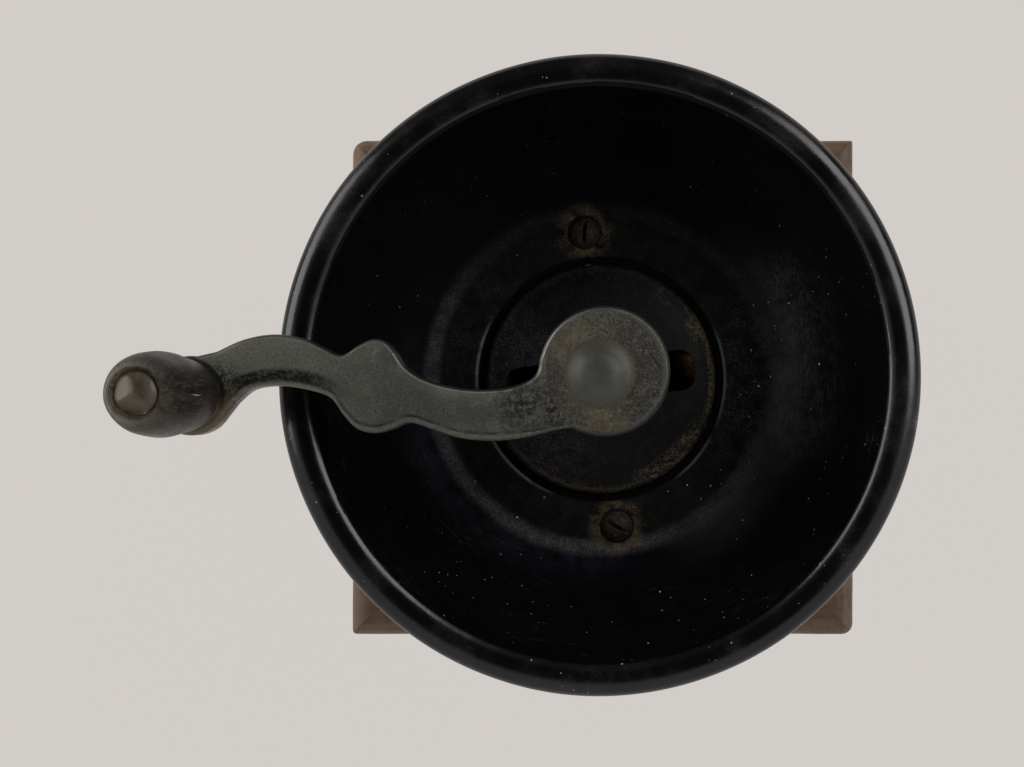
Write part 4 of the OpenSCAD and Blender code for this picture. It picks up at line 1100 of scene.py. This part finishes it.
def corner_loop(low, high, inset, corners, z):
    """A rectangle's outline with its own radius at each corner, drawn in by inset."""
    x0, y0, x1, y1 = low[0] + inset, low[1] + inset, high[0] - inset, high[1] - inset
    least_r, steps, side_cuts = 0.00015, 6, 24
    radii = [max(r - inset, least_r) for r in corners]
    spots = [(x0, y0, 180), (x1, y0, 270), (x1, y1, 0), (x0, y1, 90)]
    loop = []
    for (x, y, start), r in zip(spots, radii):
        cx = x + r if x == x0 else x - r
        cy = y + r if y == y0 else y - r
        loop += arc((cx, cy), r, r, start, start + 90, steps)
    points = []
    for i, a in enumerate(loop):
        b = loop[(i + 1) % len(loop)]
        cuts = side_cuts if i % (steps + 1) == steps else 1
        for k in range(cuts):
            points.append((a[0] + (b[0] - a[0]) * k / cuts, a[1] + (b[1] - a[1]) * k / cuts, z))
    return points


def moulded_board(name, node, corners, material, hole_r):
    """A board with a rounded upper edge, worn corners and, where it has one, a round hole."""
    low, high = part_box(node)
    square_z = high.z - BOARD_EDGE_R
    worn = 0.0004
    levels = [(worn, low.z), (0, low.z + worn)]
    for i in range(11):
        a = pi / 2 * i / 10
        levels.append((BOARD_EDGE_R * (1 - cos(a)), square_z + BOARD_EDGE_R * sin(a)))
    rows = [corner_loop(low, high, inset, corners, z) for inset, z in levels]
    if hole_r:
        def ring(row, z):
            return [(hole_r * x / hypot(x, y), hole_r * y / hypot(x, y), z) for x, y, _ in row]
        rows = [ring(rows[0], low.z)] + rows + [ring(rows[-1], high.z), ring(rows[0], low.z)]
    shape = stacked(rows, capped=not hole_r)
    verts, faces = roughened(shape, depth=0.00018, size=0.012, seed=5)
    verts = [(x, y, max(z, low.z)) for x, y, z in verts]
    thing = made(name, (verts, faces), material, 30)
    placed(thing, "mill_body", "box_wood", node)


# ---------------------------------------------------------------- studio

FLOOR_TONE = srgb(211, 206, 201)
FLOOR_GLOW = 0.97


def floor():
    """A plain pale floor that mostly gives off its own even light."""
    material = bpy.data.materials.new("pale_floor")
    nodes = Nodes(material)
    glow = nodes.value("ShaderNodeEmission", {"Color": FLOOR_TONE, "Strength": FLOOR_GLOW})
    matt = nodes.value("ShaderNodeBsdfDiffuse", {"Color": (0.02, 0.02, 0.02)})
    both = nodes.value("ShaderNodeAddShader", {0: glow, 1: matt})
    nodes.add("ShaderNodeOutputMaterial", {"Surface": both})
    half = 20
    z = cad_box[0].z - 0.0002
    mesh = bpy.data.meshes.new("floor")
    corners = [(-half, -half, z), (half, -half, z), (half, half, z), (-half, half, z)]
    mesh.from_pydata(corners, [], [(0, 1, 2, 3)])
    mesh.materials.append(material)
    thing = linked("floor", mesh)


def softbox(name, azimuth, elevation, height):
    """A large soft light, aimed at the hopper. Azimuth 0 stands towards +X and 90 towards +Y."""
    distance, width, power = 1.1, 0.9, 5.4
    light = bpy.data.lights.new(name, "AREA")
    light.shape = "RECTANGLE"
    light.size, light.size_y = width, height
    light.energy = power
    thing = linked(name, light)
    a, e = radians(azimuth), radians(elevation)
    way = Vector((cos(a) * cos(e), sin(a) * cos(e), sin(e)))
    thing.location = Vector((0, 0, FLOOR_Z)) + way * distance
    thing.rotation_euler = way.to_track_quat("Z", "Y").to_euler()


def sky(front, back, zenith):
    """A plain room: pale towards -Y, dim towards +Y and dark overhead, behind an even pale backdrop."""
    world = bpy.data.worlds.new("room")
    nodes = Nodes(world)
    way = nodes.value("ShaderNodeTexCoord", output="Generated")
    around = nodes.mix(nodes.part(way, 1).fade(-0.25, 0.35), front, back)
    shade = nodes.mix(nodes.part(way, 2).fade(0.78, 0.9), around, zenith)
    seen = nodes.value("ShaderNodeLightPath", output="Is Camera Ray")
    backdrop = nodes.mix(seen, shade, dimmed(FLOOR_TONE, FLOOR_GLOW))
    glow = nodes.value("ShaderNodeBackground", {"Color": backdrop})
    nodes.add("ShaderNodeOutputWorld", {"Surface": glow})
    bpy.context.scene.world = world


def camera():
    """Straight above the hopper, in front of its middle, with the lens shifted to frame the crank."""
    image_w, image_h = 1024, 767
    focal_px = 1400
    middle_px = (608.5, 416)             # the pixel straight below the lens
    height = 0.5528
    data = bpy.data.cameras.new("camera")
    data.sensor_fit = "HORIZONTAL"
    data.sensor_width = 36
    data.lens = data.sensor_width * focal_px / image_w
    data.shift_x = (image_w / 2 - middle_px[0]) / image_w
    data.shift_y = (middle_px[1] - image_h / 2) / image_w
    data.clip_start = 0.01
    thing = linked("camera", data)
    thing.location = (0.00245, -0.0116, height)
    bpy.context.scene.camera = thing


# ---------------------------------------------------------------- the scene

def dress(material, *names):
    """Gives carried-over CAD nodes a material."""
    for name in names:
        for slot in nodes[name].material_slots:
            slot.material = material


bpy.context.scene.view_settings.view_transform = "Standard"
camera()
floor()
sky((0.52, 0.52, 0.52), (0.06, 0.06, 0.06), (0.01, 0.01, 0.01))
softbox("left_light", 163, 28, 0.55)
softbox("right_light", 28, 40, 0.5)

hopper_bowl(japanned_bead(), japanned_inside(), gutter_soot())
centre_plate(japanned_plate())
screw_iron = rusty_screw()
for index, (centre, turn) in enumerate(zip(screw_places(), SCREW_SLOT_TURNS)):
    hopper_screw(f"hopper_screw_{index + 1}", centre, turn, screw_iron)
crank_arm(crank_iron())
cap_nut(boss_iron())
knob_grip(knob_wood("handled_wood", KNOB_Z, KNOB_TOP))
knob_spindle(metal("spindle_iron", srgb(72, 63, 54), srgb(96, 86, 70), 0.36, 0.2, 0.05))

for node, corners, hole_r in (("top_board", (0.0014, 0.0036, 0.0008, 0.0044), 0.0385),
                              ("base_board", (0.0022, 0.0014, 0.0026, 0.0018), 0)):
    low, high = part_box(node)
    half = (high - low) / 2
    name = node + "_moulded"
    wooden = moulded_wood(name + "_wood", half.x, half.y, (low + high) / 2)
    moulded_board(name, node, corners, wooden, hole_r)

box_light, box_dark = srgb(122, 96, 72), srgb(70, 50, 36)
pale_light, pale_dark = srgb(168, 138, 100), srgb(118, 90, 60)
dress(wood("box_wood_deep", box_light, box_dark, 1), "left_wall", "right_wall")
dress(wood("box_wood_wide", box_light, box_dark, 0), "back_wall", "front_panel", "drawer_front")
dress(wood("inner_wood_deep", pale_light, pale_dark, 1, 0.66, 0.2),
      "drawer_guides", "drawer_left_side", "drawer_right_side")
dress(wood("inner_wood_wide", pale_light, pale_dark, 0, 0.66, 0.2), "drawer_back", "drawer_bottom")
dress(wood("inner_wood_upright", pale_light, pale_dark, 2, 0.66, 0.2), "corner_blocks")
dress(knob_wood("drawer_knob_wood", 0, 0.01), "drawer_knob")
dress(metal("dark_screw_steel", srgb(70, 66, 62), srgb(92, 84, 76), 0.45, 0.9, 0.2),
      "block_screws", "base_screws", "drawer_nails", "drawer_knob_screw", "plate_screws", "bridge_screws")
dress(rusty_ring(), "outer_burr")
dress(metal("burr_iron_rusty", srgb(78, 72, 66), srgb(104, 86, 64), 0.55, 0.8, 0.75),
      "inner_burr", "lower_bridge")
shaft_steel = metal("bright_shaft_steel", srgb(150, 148, 142), srgb(176, 172, 164), 0.3, 1.0, 0.05, True)
dress(shaft_steel, "drive_shaft", "spring_washer", "burr_pin", "thrust_ball", "adjusting_screw", "jam_nut")
spring_coil(shaft_steel)
dress(metal("bush_brass_dull", srgb(146, 116, 62), srgb(112, 88, 50), 0.4, 1.0, 0.0, True),
      "neck_bush", "knob_washer")
